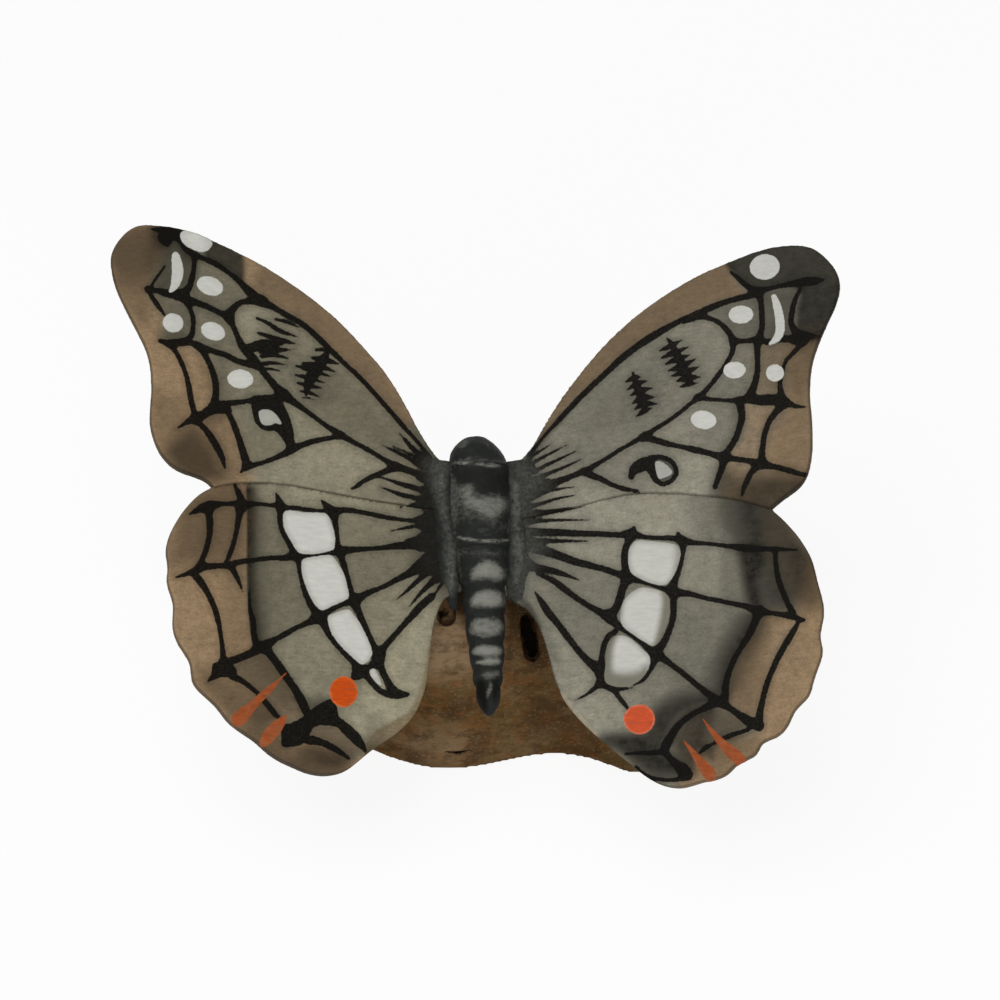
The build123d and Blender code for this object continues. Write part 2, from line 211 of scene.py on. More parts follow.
FORE_LEFT_HATCH = [
    [(257, 318, 3), (268, 323, 4), (280, 331, 5), (297, 337, 1)],
    [(276, 319, 3), (287, 322, 4), (300, 328, 1)],
    [(258, 333, 3), (270, 337, 5), (284, 341, 5), (296, 344, 1)],
    [(248, 349, 10), (262, 345, 11), (275, 344, 8), (289, 341, 2)],
    [(262, 350, 9), (274, 350, 8), (291, 350, 1)],
    [(262, 356, 5), (274, 355, 5), (289, 359, 1)],
    [(263, 364, 5), (272, 363, 4), (286, 365, 1)],
    [(262, 369, 3), (270, 369, 3), (280, 371, 1)],
    [(316, 350, 3), (327, 350, 5), (337, 353, 2)],
    [(312, 358, 3), (325, 360, 7), (338, 364, 2)],
    [(303, 364, 4), (318, 366, 7), (336, 372, 1)],
    [(296, 366, 2), (310, 370, 6), (329, 376, 2)],
    [(295, 375, 2), (308, 378, 5), (325, 383, 1)],
    [(298, 383, 3), (310, 386, 5), (322, 388, 1)],
    [(300, 391, 2), (310, 393, 4), (319, 397, 1)],
    [(302, 398, 1), (308, 398, 2), (314, 400, 1)],
    [(328, 350, 4), (322, 362, 11), (313, 374, 13), (308, 385, 9), (306, 395, 3)],
]
FORE_RIGHT_INK = [
    [(529, 455, 3), (537, 445, 3.5), (547, 433, 3.5), (560, 419, 5), (575, 403, 6), (590, 388, 6),
     (605, 374, 6), (620, 360, 7), (635, 348, 7), (650, 338, 8), (665, 329, 7), (680, 321, 6),
     (695, 315, 7), (710, 308, 7), (722, 303, 6), (735, 299, 6), (748, 296, 7), (758, 292, 8),
     (768, 289, 5), (780, 286, 5), (792, 284, 7), (804, 282, 9), (815, 281, 8), (824, 280, 2)],
    [(685, 321, 5), (697, 317, 6), (708, 318, 5), (718, 322, 5), (726, 329, 6), (732, 338, 6.5),
     (733, 348, 6), (730, 357, 5), (724, 367, 5), (716, 378, 5), (707, 389, 5), (700, 396, 6),
     (690, 404, 4.5), (678, 414, 4.5), (665, 423, 4.5), (652, 431, 5), (645, 436, 6.5), (632, 443, 4.5),
     (618, 451, 4.5), (604, 460, 4.5), (592, 467, 5.5), (580, 473, 5.5), (565, 479, 6.5), (550, 484, 9),
     (536, 488, 14), (522, 490, 20)],
    [(733, 341, 7), (745, 341, 5), (757, 340, 7), (768, 342, 5)],
    [(759, 292, 8), (761, 303, 6), (762, 315, 6), (762, 327, 6), (759.5, 337, 7), (757.5, 346, 7),
     (757.5, 358, 6), (757.5, 370, 6), (755, 383, 7), (750, 396, 9)],
    [(800, 290, 4), (795, 300, 5), (792, 312, 6), (791, 322, 6), (795, 331, 8), (802, 338, 11)],
    [(794, 341, 6), (802, 338, 13), (810, 336, 7), (817, 336, 2)],
    [(803, 343, 6), (795, 351, 5), (786, 361, 4), (782.5, 372, 4), (780, 384, 5), (781.5, 395, 7),
     (784, 402, 8)],
    [(768, 342, 4), (780, 339, 7), (794, 339, 8)],
    [(697, 397, 5.5), (708, 399, 4.5), (722, 400, 4), (735, 400.5, 5), (748, 399, 9), (760, 400, 11),
     (775, 400, 11), (785, 402, 9), (795, 406, 5), (805, 407, 2)],
    [(738, 400, 6), (741, 408, 8), (742, 418, 7), (739.5, 428, 6.5), (736, 438, 6.5), (730, 448, 6.5),
     (724, 456, 8)],
    [(783, 405, 9), (776, 412, 7), (769, 422, 6), (765, 433, 6), (763, 445, 6), (762, 456, 7),
     (764, 464, 8)],
    [(645, 437, 9), (655, 440, 7), (668, 444, 6), (682, 447, 5), (695, 450, 7), (708, 453, 6),
     (722, 457, 8), (735, 459, 6), (748, 461, 6), (760, 464, 9), (775, 467, 6), (790, 471, 6),
     (800, 474, 5), (810, 475, 4)],
    [(724, 460, 8), (722, 468, 7), (719, 476, 6), (715, 487, 5)],
    [(758, 466, 8), (751, 473, 6), (747, 481, 6), (744, 488, 5), (742, 495, 3)],
    [(584, 472, 7), (592, 475.5, 7), (601, 479, 6), (613, 485, 5), (625, 489, 5), (639, 491, 2)],
    [(631, 477, 6), (634, 470, 10), (640, 466, 13), (648, 464, 14), (652, 472, 8), (656, 480, 6),
     (663, 484, 5), (671, 481, 5), (676, 474, 5), (675, 466, 5), (669, 460, 5), (660, 457, 5),
     (650, 459, 7)],
    [(524, 462, 4), (537, 453, 3), (550, 445, 1)],
    [(526, 467, 5), (540, 459, 3.5), (553, 452, 2.5), (567, 445, 1)],
    [(530, 474, 5.5), (545, 466, 4), (560, 459, 3), (576, 451, 1)],
    [(534, 480, 6), (550, 473, 4), (565, 467, 3), (582, 459, 1)],
    [(530, 498, 7), (546, 492, 4), (560, 489, 2.5), (574, 487, 1)],
    [(524, 507, 6.5), (540, 504, 4), (556, 499, 3), (576, 495, 1)],
    [(731, 272, 3), (738, 278, 5), (747, 286, 6), (757, 292, 7)],
]
FORE_RIGHT_HATCH = [
    [(660, 351, 2), (671, 346, 6), (682, 340, 1)],
    [(662, 358, 2), (674, 353, 6.5), (689, 347, 1)],
    [(666, 364, 2), (678, 359, 7), (690, 355, 1)],
    [(669, 371, 2), (682, 366, 7.5), (696, 359, 1)],
    [(672, 376, 2), (685, 372, 7.5), (699, 367, 1)],
    [(677, 381, 2), (688, 378, 8), (700, 377, 1)],
    [(680, 387, 2), (689, 384, 5), (698, 383, 1)],
    [(667, 338, 2), (672, 345, 6), (680, 360, 9), (687, 374, 9), (692, 383, 4)],
    [(626, 382, 2), (634, 378, 6), (641, 377, 1)],
    [(627, 390, 1), (637, 384, 6.5), (647, 381, 1)],
    [(630, 396, 1), (640, 391, 7), (652, 388, 1)],
    [(632, 404, 1), (642, 398, 8), (655, 397, 1)],
    [(634, 410, 1), (644, 404, 7), (658, 404, 1)],
    [(636, 417, 1), (644, 411, 6), (652, 408, 1)],
    [(633, 373, 3), (636, 384, 7), (640, 393, 9), (644, 406, 8)],
]
HIND_LEFT_INK = [
    [(190, 514, 2), (200, 509, 8), (210, 506, 11), (222, 504, 5), (235, 504, 6), (242, 506, 10),
     (255, 504, 5), (268, 505, 4), (278, 506, 6), (284, 509, 8), (295, 508, 5), (308, 510, 5),
     (320, 512, 6), (332, 512, 9), (345, 510, 6), (360, 512, 5), (375, 515, 5), (390, 518, 5),
     (405, 520, 4), (422, 521, 6)],
    [(234, 485, 2), (238, 492, 6), (241, 500, 8), (241, 507, 9)],
    [(276, 493, 2), (279, 500, 6), (282, 507, 8)],
    [(322, 501, 3), (328, 507, 7), (334, 513, 8)],
    [(209, 512, 8), (210, 525, 7), (209, 538, 6), (206, 550, 6), (202, 560, 6), (199, 568, 7)],
    [(240, 510, 8), (238, 522, 6), (236, 533, 5), (233, 545, 5), (229, 556, 5), (226, 561, 2)],
    [(176, 577, 2), (184, 575, 4), (193, 571, 6), (203, 567, 8), (215, 566, 6), (228, 565, 6),
     (240, 562, 6), (255, 560, 5), (270, 558, 5), (283, 558, 6), (294, 556, 9), (305, 556, 5),
     (318, 555, 5), (330, 553, 5), (340, 551, 9), (352, 550, 7), (365, 549, 5), (380, 548, 5),
     (395, 546, 7), (410, 545, 9), (428, 544, 13)],
    [(194, 575, 6), (200, 581, 8), (207, 592, 6), (213, 604, 6), (217, 616, 6), (220, 630, 5),
     (222, 645, 5), (223, 658, 7), (222, 668, 11)],
    [(230, 566, 6), (235, 573, 6), (239, 582, 4), (243, 592, 1)],
    [(249, 592, 2), (250, 608, 4), (253, 622, 6), (254, 635, 6), (257, 646, 8)],
    [(281, 508, 8), (280, 520, 6), (282, 531, 5), (287.5, 541, 5.5), (293.5, 551, 7.5), (298, 561, 6),
     (299.5, 572, 4), (302, 583, 4.5), (306, 595, 6), (312, 607, 7), (320, 616, 11), (324, 624, 9),
     (329, 634, 7), (337, 645, 6), (346, 654, 7), (355, 662, 9), (362, 669, 12)],
    [(334, 514, 8), (335.5, 524, 6), (336.5, 536, 6), (337, 548, 8), (341.5, 558, 7), (345, 570, 6.5),
     (348, 582, 6.5), (351, 594, 8), (354, 602, 10), (358.5, 612, 7.5), (363.5, 624, 7), (368.5, 636, 7),
     (373.5, 647, 8), (378, 656, 12)],
    [(314, 618, 8), (325, 613, 7), (336, 607, 6), (346, 603, 6), (356, 600, 9)],
    [(357, 599, 9), (370, 592, 6), (383, 587, 5), (396, 580, 6), (408, 574, 8), (420, 566, 13),
     (434, 558, 20)],
    [(320, 618, 9), (310, 622, 7), (298, 627, 5), (287, 633, 6), (276, 639, 6), (265, 645.5, 11),
     (255, 651, 9), (245, 656, 8), (234, 660, 8), (224, 664, 9)],
    [(265, 648, 10), (273, 658, 8), (281, 669, 8.5), (288.5, 680, 8), (295.5, 690, 8), (301, 700, 9.5),
     (306, 711, 9)],
    [(232, 676, 8), (242, 681, 6), (250, 687, 5), (258, 694, 5), (266, 703, 6), (274, 713, 6),
     (282, 721, 3)],
    [(336, 720, 9), (344, 727, 10.5), (352.5, 735, 11.5), (358, 741, 10), (362, 746, 7), (366, 752, 2)],
    [(306, 739.5, 9), (313, 740.5, 9.5), (320, 742, 7.5), (330, 746.3, 7), (339, 751.5, 6),
     (349, 758.5, 3)],
    [(378, 656, 12), (385, 646, 7), (393, 637, 6), (402, 627, 6), (411, 617, 7), (420, 607, 8),
     (431, 597, 8)],
    [(378, 657, 12), (381, 668, 8), (385, 677, 7), (390, 686, 8), (397, 692, 7), (409, 694, 2)],
    [(358, 669, 13), (366, 675, 8), (372, 683, 6), (379, 690, 6), (388, 695, 6), (398, 697, 4),
     (407, 696, 2)],
    [(430, 526, 8), (418, 526, 4), (405, 528, 3), (391, 531, 1)],
    [(432, 536, 8), (420, 537, 5), (406, 540, 1)],
    [(434, 568, 9), (422, 577, 6), (410, 588, 4), (396, 600, 1)],
    [(440, 574, 9), (430, 584, 6), (420, 594, 4), (409, 607, 1)],
    [(446, 578, 5), (439, 588, 3), (431, 600, 1)],
]
HIND_LEFT_BLOTS = [
    [(354, 667), (366, 665), (373, 659), (381, 654), (383.5, 663), (380, 670), (371, 669), (366, 676),
     (359, 680), (351, 679)],
    [(213, 664), (222, 661), (232, 664), (237, 672), (232, 678), (222, 677), (214, 680), (207, 682),
     (211, 674)],
    [(303, 716), (313, 708), (321, 703), (331, 699), (336, 705), (339, 717), (343, 728), (331, 726),
     (317, 726), (311, 732), (308, 740), (298, 746), (283, 747), (281, 739), (282, 726), (291, 723),
     (301, 718)],
]
HIND_RIGHT_INK = [
    [(522, 531, 8), (540, 532, 8), (560, 532.5, 7.5), (580, 533.5, 6.5), (600, 534, 6), (618, 535, 6),
     (631, 534, 9), (645, 537, 5), (660, 538, 5), (672, 538, 6), (683, 541, 8), (697, 543, 5),
     (712, 544, 4), (728, 546, 5), (745, 548, 8), (760, 549, 6), (775, 549, 5), (797, 550, 2)],
    [(634, 528, 4), (631, 535, 8)],
    [(678, 533, 3), (682, 540, 7)],
    [(528, 541, 7), (550, 541, 5), (570, 541, 3), (588, 541, 1)],
    [(528, 547, 10), (545, 551, 10), (560, 556, 8.5), (575, 561.5, 8), (590, 565.5, 7), (605, 569.5, 6.5),
     (618, 574, 7), (628, 578, 9), (640, 581.5, 4.5), (652, 585.3, 3.5), (663, 588.5, 5), (674, 592, 9),
     (690, 594, 6), (705, 598, 5), (720, 601, 5), (735, 604, 5), (748, 607, 7), (758, 611, 9),
     (772, 613, 5), (785, 615, 6), (793, 617, 6), (804, 620, 4)],
    [(630, 538, 8), (625.5, 549, 7), (624.5, 560, 7.5), (626, 570, 8), (628, 577, 8)],
    [(683, 542, 8), (683, 551, 5.5), (681.5, 561, 5), (678.5, 571, 6), (674.5, 581, 8), (672, 589, 10)],
    [(627, 578, 9), (623, 588, 8.5), (620, 598, 8), (616, 608, 8.5), (610, 615, 11)],
    [(674, 593, 9), (673.5, 604, 7), (673.5, 613, 6.5), (672, 622, 6.5), (669, 631, 6.5),
     (664.5, 641, 7.5), (658, 650, 10)],
    [(538, 574, 4), (552, 580, 6), (563, 588, 7), (575, 597, 6), (587, 605, 6), (598, 611, 7),
     (609, 617.5, 11), (619, 626, 7), (629, 633.5, 4.5), (640, 642, 4.5), (652, 650.5, 10), (660, 656, 9),
     (672, 665, 6), (685, 675, 6), (697, 685, 6), (707, 693, 7), (718, 700, 8)],
    [(615, 632, 6), (608, 637, 6), (604, 646, 6), (602, 657, 6), (602, 668, 8), (602, 678, 9)],
    [(655, 655, 10), (653, 664, 7), (648, 673, 5), (643, 680, 4), (634, 685, 2)],
    [(535, 592, 2), (541, 601, 6), (548, 612, 8), (558, 624, 7), (567, 636, 7), (577, 649, 6.5),
     (587, 660, 8), (597, 668, 11), (602.5, 677, 10), (608, 684, 7), (615, 692, 5), (622, 701, 5),
     (629, 710, 3)],
    [(600, 685, 5), (612, 689, 4), (622, 689, 4), (632, 688, 1)],
    [(602, 681, 7), (594, 689, 5), (586, 695, 3), (576, 700, 1)],
    [(524, 514, 8), (545, 512, 5), (565, 509, 3), (584, 505, 1)],
    [(524, 523, 6), (540, 521, 4), (560, 520, 3), (590, 520, 1)],
    [(530, 567, 9), (545, 569, 7), (560, 573, 6), (579, 580, 1)],
    [(775, 552, 5), (776, 565, 5), (778, 578, 6), (782, 590, 6), (787, 602, 6), (793, 613, 7)],
    [(760, 610, 9), (755, 622, 8), (749, 635, 7), (741, 648, 6), (734, 660, 6), (729, 672, 6),
     (726, 684, 7), (725, 696, 8), (724, 703, 9)],
    [(799, 621, 3), (793, 632, 6.5), (785, 645, 6.5), (778, 658, 6.5), (772, 671, 6), (766.5, 685, 6),
     (763, 698, 6), (760, 712, 7), (759, 724, 9)],
    [(718, 702, 8), (728, 707, 7), (738, 714, 7), (750, 722, 11), (759, 727, 9)],
    [(748, 730, 4), (735, 734, 5), (725, 738, 5), (715, 742, 2)],
    [(715, 702, 9), (707, 707, 8), (698, 711.5, 6), (688, 717.5, 6), (679, 725, 7), (672, 735, 8),
     (667, 746, 8)],
    [(700, 753, 3), (707, 747, 5), (715, 744, 2)],
    [(626, 754, 3), (640, 753, 4), (652, 753, 5), (663, 752, 6)],
    [(668, 738, 4), (664, 747, 6), (669, 757, 7), (676, 764, 9), (682, 769, 13), (686, 773, 13)],
    [(636, 766, 2), (645, 774, 3), (655, 778.5, 4), (668, 780, 4), (679, 779, 5), (688, 776, 8)],
]

# White and orange dabs, as ovals (middle, half sizes, turn) or outlines, in photo pixels
FORE_LEFT_OVALS = [
    (210, 286, 13.3, 9.0, 20), (173, 323, 10.2, 9.2, 20), (213, 331.5, 12.3, 8.5, 22),
    (240.3, 379, 12.7, 9.2, 5),
]
FORE_LEFT_DABS = [
    [(181, 233), (190, 230), (200, 233), (209, 238), (212, 244), (208, 250), (202, 252), (194, 250),
     (186, 246), (181, 240)],
    [(259, 412), (263, 410), (269, 410), (275, 414), (279, 419), (281, 424), (275, 423), (270, 425),
     (264, 425), (260, 420)],
    [(172, 256), (175, 252), (179, 255), (182, 264), (183, 274), (180, 284), (174, 291), (169, 292),
     (171, 284), (172, 270)],
]
FORE_RIGHT_OVALS = [
    (764.8, 267, 14.8, 12.4, -8), (741, 314.5, 12.0, 8.8, -3), (734.5, 370, 11.0, 8.1, -5),
    (775, 373, 8.8, 8.3, 0), (703.6, 420, 12.6, 9.0, 10),
]
FORE_RIGHT_DABS = [
    [(655.5, 463), (660, 461.5), (667, 465.5), (672, 471.5), (670, 475), (663, 478), (659.5, 478.5),
     (657, 474)],
]
FORE_RIGHT_STREAKS = [
    [(774, 297, 5), (777, 306, 7.5), (779.5, 318, 8.5), (780, 330, 8.5), (777, 338, 7), (770, 344, 2)],
]
HIND_LEFT_DABS = [
    [(284, 513), (290, 510.5), (304, 512.5), (320, 513), (327, 515), (331, 523), (334.5, 535),
     (334.5, 545), (332, 550), (318, 553.5), (306, 554), (298, 552), (292, 543), (285, 530), (283, 520)],
    [(302, 562), (306, 558.5), (318, 556.5), (330, 555.5), (336, 561), (343, 573), (347, 586),
     (348.5, 596), (345, 600), (332, 606), (323, 610), (317, 607), (310, 596), (305, 583), (302, 572)],
    [(328, 618), (333, 614), (347, 609.5), (353, 614), (360, 624), (367, 638), (371, 648), (371.5, 655),
     (367, 662), (361, 664), (352, 657), (340, 645), (331, 632)],
    [(370, 671), (374, 669), (377, 674), (381, 683), (380, 685), (375, 681), (371, 676)],
]
HIND_RIGHT_DABS = [
    [(637, 541), (648, 541), (662, 542.5), (675, 544.5), (680, 551), (679.5, 560), (675, 573), (668, 583),
     (660, 585), (648, 582), (638, 577), (631, 572), (628.5, 560), (630, 548)],
    [(634, 591), (643, 587.5), (652, 589), (662, 592), (668, 598), (669.5, 610), (668, 620), (660.5, 636),
     (654, 646), (645, 642), (633, 634), (623, 626), (620.5, 616), (622.5, 605), (627, 597)],
    [(617, 636), (624, 636), (632, 640), (642, 649), (649.5, 657), (649, 667), (643, 677), (634, 684),
     (622, 687), (610, 685), (605, 679), (606, 664), (608, 650), (612, 641)],
]
HIND_LEFT_ORANGE_OVALS = [
    (343.5, 692, 14, 15.5, 0),
]
HIND_LEFT_ORANGE_STREAKS = [
    [(286, 673, 1), (277, 682, 3), (269, 690, 7), (259, 699, 8), (250, 708, 10), (243, 715, 14),
     (239, 719, 15)],
    [(286, 716, 2), (281, 722, 9), (274, 730, 13), (268, 737, 13), (264, 742, 9)],
]
HIND_RIGHT_ORANGE_OVALS = [
    (639.5, 719.5, 15.6, 15, 0),
]
HIND_RIGHT_ORANGE_STREAKS = [
    [(703, 719, 1), (711, 730, 4), (721, 742, 8), (731, 752, 12), (740, 760, 12)],
    [(684, 741, 1.5), (692, 751, 5), (701, 763, 10), (710, 774, 13)],
]

# Greyer white: strength, softness and outline; on the right hindwing it is mostly painted shade along the
# edges of the white blocks
FORE_LEFT_VEIL = [
    (0.5, 3, [(254, 405), (286, 405), (286, 431), (255, 431)]),
]
FORE_RIGHT_VEIL = [
    (0.45, 3, [(649, 456), (677, 456), (677, 483), (649, 483)]),
]
# Painted shade along the edges of the white blocks, over a slightly greyer white
HIND_RIGHT_WHITE_SHADE = [
    (0.09, 4, [(600, 532), (690, 532), (690, 600), (660, 700), (595, 700), (602, 620)]),
    (1.0, 4.5, [(664, 588), (690, 600), (690, 630), (665, 655), (651, 652), (655, 640), (659.5, 620),
        (662, 604)]),
    (1.0, 5, [(585, 640), (617, 628), (614, 645), (612.5, 662), (612, 700), (585, 700)]),
    (1.0, 7, [(590, 673), (625, 673), (638, 671), (647, 667), (656, 690), (650, 705), (590, 705)]),
    (0.6, 4, [(605, 596), (624, 590), (622, 604), (620, 618), (605, 618)]),
    (0.5, 5, [(676, 545), (695, 545), (690, 580), (672, 592), (674, 575)]),
]

# Soft washes of each wing: strength, softness of the edge in photo pixels and outline
FORE_LEFT_TAN = [
    (1.0, 10, [(90, 215), (165, 225), (160, 262), (148, 286), (153, 300), (163, 318), (162, 340),
        (195, 346), (210, 362), (215, 385), (214, 404), (228, 412), (240, 440), (247, 470), (252, 482),
        (210, 505), (120, 480), (130, 380), (90, 270)]),
    (0.9, 6, [(243, 248), (262, 256), (330, 305), (390, 365), (414, 406), (408, 428), (385, 405),
        (345, 363), (300, 321), (262, 298), (243, 283)]),
]
FORE_LEFT_SHADE = [
    (0.85, 9, [(152, 226), (170, 222), (183, 228), (183, 240), (190, 252), (205, 257), (190, 262),
        (170, 246), (156, 246)]),
    (0.66, 16, [(110, 230), (150, 222), (170, 230), (170, 250), (158, 275), (140, 285), (118, 278),
        (100, 255)]),
    (0.35, 12, [(105, 275), (140, 280), (152, 296), (150, 318), (138, 322), (118, 300)]),
    (0.85, 4, [(205, 236), (225, 238), (243, 250), (243, 285), (228, 272), (212, 262), (205, 256)]),
    (0.78, 15, [(176, 434), (195, 424), (212, 440), (222, 460), (226, 480), (190, 484), (162, 455)]),
    (0.2, 8, [(196, 352), (212, 368), (216, 400), (205, 404), (202, 375)]),
    (0.25, 12, [(195, 300), (230, 318), (240, 350), (225, 355), (195, 343), (192, 318)]),
    (0.25, 12, [(200, 262), (240, 282), (252, 298), (230, 312), (188, 299), (192, 275)]),
    (0.65, 10, [(165, 245), (192, 258), (190, 285), (172, 293), (155, 288), (165, 268)]),
    (0.4, 10, [(158, 300), (186, 302), (192, 320), (188, 340), (164, 340), (165, 318)]),
    (0.08, 14, [(216, 355), (250, 366), (282, 394), (240, 402), (216, 404)]),
    (0.3, 7, [(216, 360), (228, 362), (226, 400), (216, 402)]),
    (0.12, 12, [(228, 404), (258, 402), (260, 425), (290, 446), (248, 466), (238, 430)]),
    (0.4, 5, [(200, 414), (222, 405), (230, 414), (222, 424), (208, 424)]),
    (0.28, 14, [(150, 395), (180, 395), (196, 420), (176, 434), (158, 440), (148, 420)]),
    (0.36, 8, [(262, 262), (300, 283), (350, 328), (395, 385), (425, 440), (430, 460), (410, 432),
        (375, 394), (330, 350), (280, 311), (255, 294)]),
    (0.24, 18, [(330, 365), (400, 430), (420, 462), (385, 458), (345, 436), (300, 404)]),
    (0.12, 5, [(408, 424), (420, 432), (438, 460), (428, 458), (412, 440)]),
    (0.13, 10, [(262, 336), (300, 346), (342, 388), (318, 402), (285, 382)]),
    (0.22, 8, [(203, 416), (222, 412), (240, 450), (240, 470), (226, 470), (212, 436)]),
    (0.25, 8, [(146, 245), (168, 245), (166, 292), (150, 292)]),
    (0.3, 5, [(156, 328), (168, 330), (184, 332), (182, 340), (160, 340)]),
]
FORE_LEFT_PALE = [
    (0.4, 16, [(255, 470), (300, 450), (345, 440), (392, 466), (352, 487), (345, 496), (250, 492)]),
    (0.25, 10, [(292, 408), (342, 434), (296, 444)]),
    (0.35, 12, [(238, 308), (255, 306), (262, 320), (256, 340), (244, 342), (236, 325)]),
]
FORE_RIGHT_TAN = [
    (0.85, 6, [(528, 452), (560, 416), (600, 377), (640, 343), (680, 319), (720, 301), (738, 297),
        (743, 290), (731, 274), (726, 258), (690, 272), (640, 305), (580, 365), (530, 430)]),
    (0.9, 10, [(786, 350), (830, 335), (825, 480), (765, 467), (765, 440), (784, 406), (783, 375)]),
    (0.7, 10, [(745, 405), (780, 408), (764, 440), (762, 462), (728, 455), (742, 435)]),
    (0.6, 12, [(760, 345), (800, 342), (784, 365), (782, 398), (757, 398), (756, 370)]),
    (0.75, 10, [(728, 462), (762, 468), (815, 476), (800, 510), (760, 530), (725, 510)]),
]
FORE_RIGHT_SHADE = [
    (0.85, 3.5, [(726, 266), (726, 252), (790, 235), (850, 255), (850, 300), (830, 335), (800, 340),
        (797, 312), (800, 292), (780, 286), (760, 291), (749, 289), (738, 278)]),
    (0.5, 4, [(526, 458), (534, 444), (548, 428), (562, 412), (566, 416), (552, 432), (538, 450),
        (530, 460)]),
    (0.62, 12, [(757, 292), (800, 288), (792, 318), (800, 340), (764, 342), (766, 315)]),
    (0.35, 10, [(738, 299), (758, 296), (764, 318), (758, 338), (734, 338), (722, 322), (712, 310)]),
    (0.12, 12, [(735, 343), (756, 344), (750, 396), (702, 398), (724, 368)]),
    (0.22, 12, [(770, 412), (808, 410), (812, 465), (768, 460)]),
    (0.32, 7, [(728, 404), (742, 402), (745, 428), (728, 452), (718, 450), (732, 430)]),
    (0.82, 14, [(750, 476), (790, 472), (814, 478), (802, 505), (760, 527), (740, 500)]),
    (0.68, 12, [(716, 468), (742, 478), (745, 520), (728, 545), (712, 520)]),
    (0.35, 14, [(805, 290), (850, 290), (830, 345), (800, 345), (798, 315)]),
    (0.5, 12, [(800, 340), (824, 335), (816, 372), (806, 400), (790, 396), (784, 375), (790, 358)]),
    (0.4, 8, [(528, 452), (560, 416), (600, 377), (640, 343), (680, 319), (720, 301), (738, 297),
        (743, 290), (731, 274), (726, 258), (690, 272), (640, 305), (580, 365), (530, 430)]),
    (0.35, 10, [(760, 346), (796, 344), (786, 362), (782, 396), (766, 396), (758, 370)]),
    (0.2, 16, [(660, 335), (700, 325), (722, 335), (722, 355), (700, 375), (670, 375)]),
    (0.22, 14, [(585, 425), (610, 390), (650, 364), (668, 398), (638, 420), (600, 434)]),
    (0.75, 4, [(652, 460), (662, 458), (674, 466), (674, 476), (664, 482), (656, 478)]),
]
FORE_RIGHT_PALE = [
    (0.5, 18, [(560, 485), (640, 492), (690, 450), (715, 458), (716, 486), (700, 530), (590, 528),
        (560, 505)]),
    (0.2, 8, [(655, 437), (688, 410), (694, 430), (680, 446)]),
    (0.3, 16, [(660, 330), (700, 322), (725, 335), (728, 352), (715, 372), (695, 360)]),
]
HIND_LEFT_TAN = [
    (1.0, 4, [(150, 470), (246, 478), (247, 590), (252, 630), (256, 648), (228, 662), (240, 678),
        (262, 700), (282, 722), (284, 748), (306, 741), (330, 746), (350, 760), (370, 752), (345, 800),
        (150, 800)]),
    (0.7, 8, [(226, 664), (258, 652), (280, 668), (300, 705), (300, 722), (280, 718), (258, 694),
        (236, 676)]),
    (0.6, 8, [(308, 730), (330, 724), (345, 730), (362, 746), (350, 757), (330, 745), (308, 738)]),
]
HIND_LEFT_SHADE = [
    (0.55, 18, [(185, 490), (245, 478), (247, 560), (200, 566), (170, 560)]),
    (0.25, 10, [(222, 575), (246, 570), (248, 600), (252, 640), (228, 650)]),
    (0.52, 14, [(200, 668), (232, 680), (262, 700), (284, 722), (284, 748), (262, 748), (230, 720),
        (205, 692)]),
    (0.4, 7, [(250, 704), (262, 698), (278, 714), (270, 722), (258, 724), (250, 716)]),
    (0.3, 5, [(300, 747), (330, 752), (346, 760), (330, 766), (300, 758)]),
    (0.4, 4, [(368, 746), (382, 744), (378, 758), (366, 760)]),
    (0.35, 6, [(304, 746), (330, 750), (350, 760), (340, 768), (310, 756)]),
    (0.3, 8, [(250, 590), (262, 592), (266, 640), (256, 646)]),
    (0.7, 18, [(240, 735), (284, 748), (330, 746), (350, 760), (340, 790), (280, 780)]),
    (0.54, 14, [(226, 664), (258, 652), (285, 675), (300, 720), (262, 700), (240, 680)]),
    (0.2, 7, [(274, 487), (288, 487), (284, 510), (283, 528), (296, 552), (280, 553), (274, 530)]),
    (0.1, 14, [(258, 500), (282, 508), (282, 530), (296, 556), (250, 560), (248, 505)]),
    (0.18, 16, [(252, 562), (296, 558), (305, 590), (316, 616), (262, 645), (250, 600)]),
    (0.12, 12, [(342, 552), (425, 546), (400, 576), (356, 600)]),
    (0.55, 8, [(296, 700), (312, 696), (330, 700), (318, 712), (304, 716)]),
    (0.44, 8, [(306, 728), (330, 722), (346, 730), (362, 746), (350, 757), (330, 745), (308, 738)]),
    (0.3, 6, [(366, 716), (386, 720), (384, 750), (364, 750)]),
]
HIND_LEFT_FADES = [
    (0.9, 15, 1, [(246, 486), (247, 520), (247, 560), (248, 600), (252, 640), (256, 650)]),
    (0.5, 34, 1, [(246, 486), (247, 520), (247, 560), (248, 600), (252, 640), (256, 650)]),
    (0.45, 22, -1, [(262, 648), (274, 658), (289, 679), (301, 702)]),
]
HIND_LEFT_PALE = [
    (0.62, 16, [(380, 660), (402, 632), (430, 600), (436, 640), (426, 690), (400, 730), (360, 745),
        (345, 726), (366, 690)]),
    (0.3, 10, [(362, 694), (400, 697), (396, 722), (366, 727)]),
    (0.15, 16, [(270, 645), (318, 622), (350, 662), (340, 680), (322, 702), (300, 690)]),
    (0.45, 10, [(262, 482), (345, 482), (410, 500), (330, 506), (262, 502)]),
    (0.2, 14, [(362, 610), (420, 572), (428, 598), (380, 650)]),
]
HIND_RIGHT_TAN = [
    (1.0, 9, [(796, 616), (806, 560), (840, 540), (840, 800), (690, 800), (690, 765), (722, 742),
        (758, 730), (762, 698), (778, 655)]),
    (0.9, 9, [(762, 616), (794, 620), (776, 658), (760, 715), (728, 704), (736, 662)]),
    (0.5, 16, [(770, 500), (815, 540), (825, 620), (796, 614), (780, 580), (765, 540)]),
    (0.4, 10, [(690, 715), (722, 705), (752, 724), (720, 742), (690, 765), (676, 740)]),
]
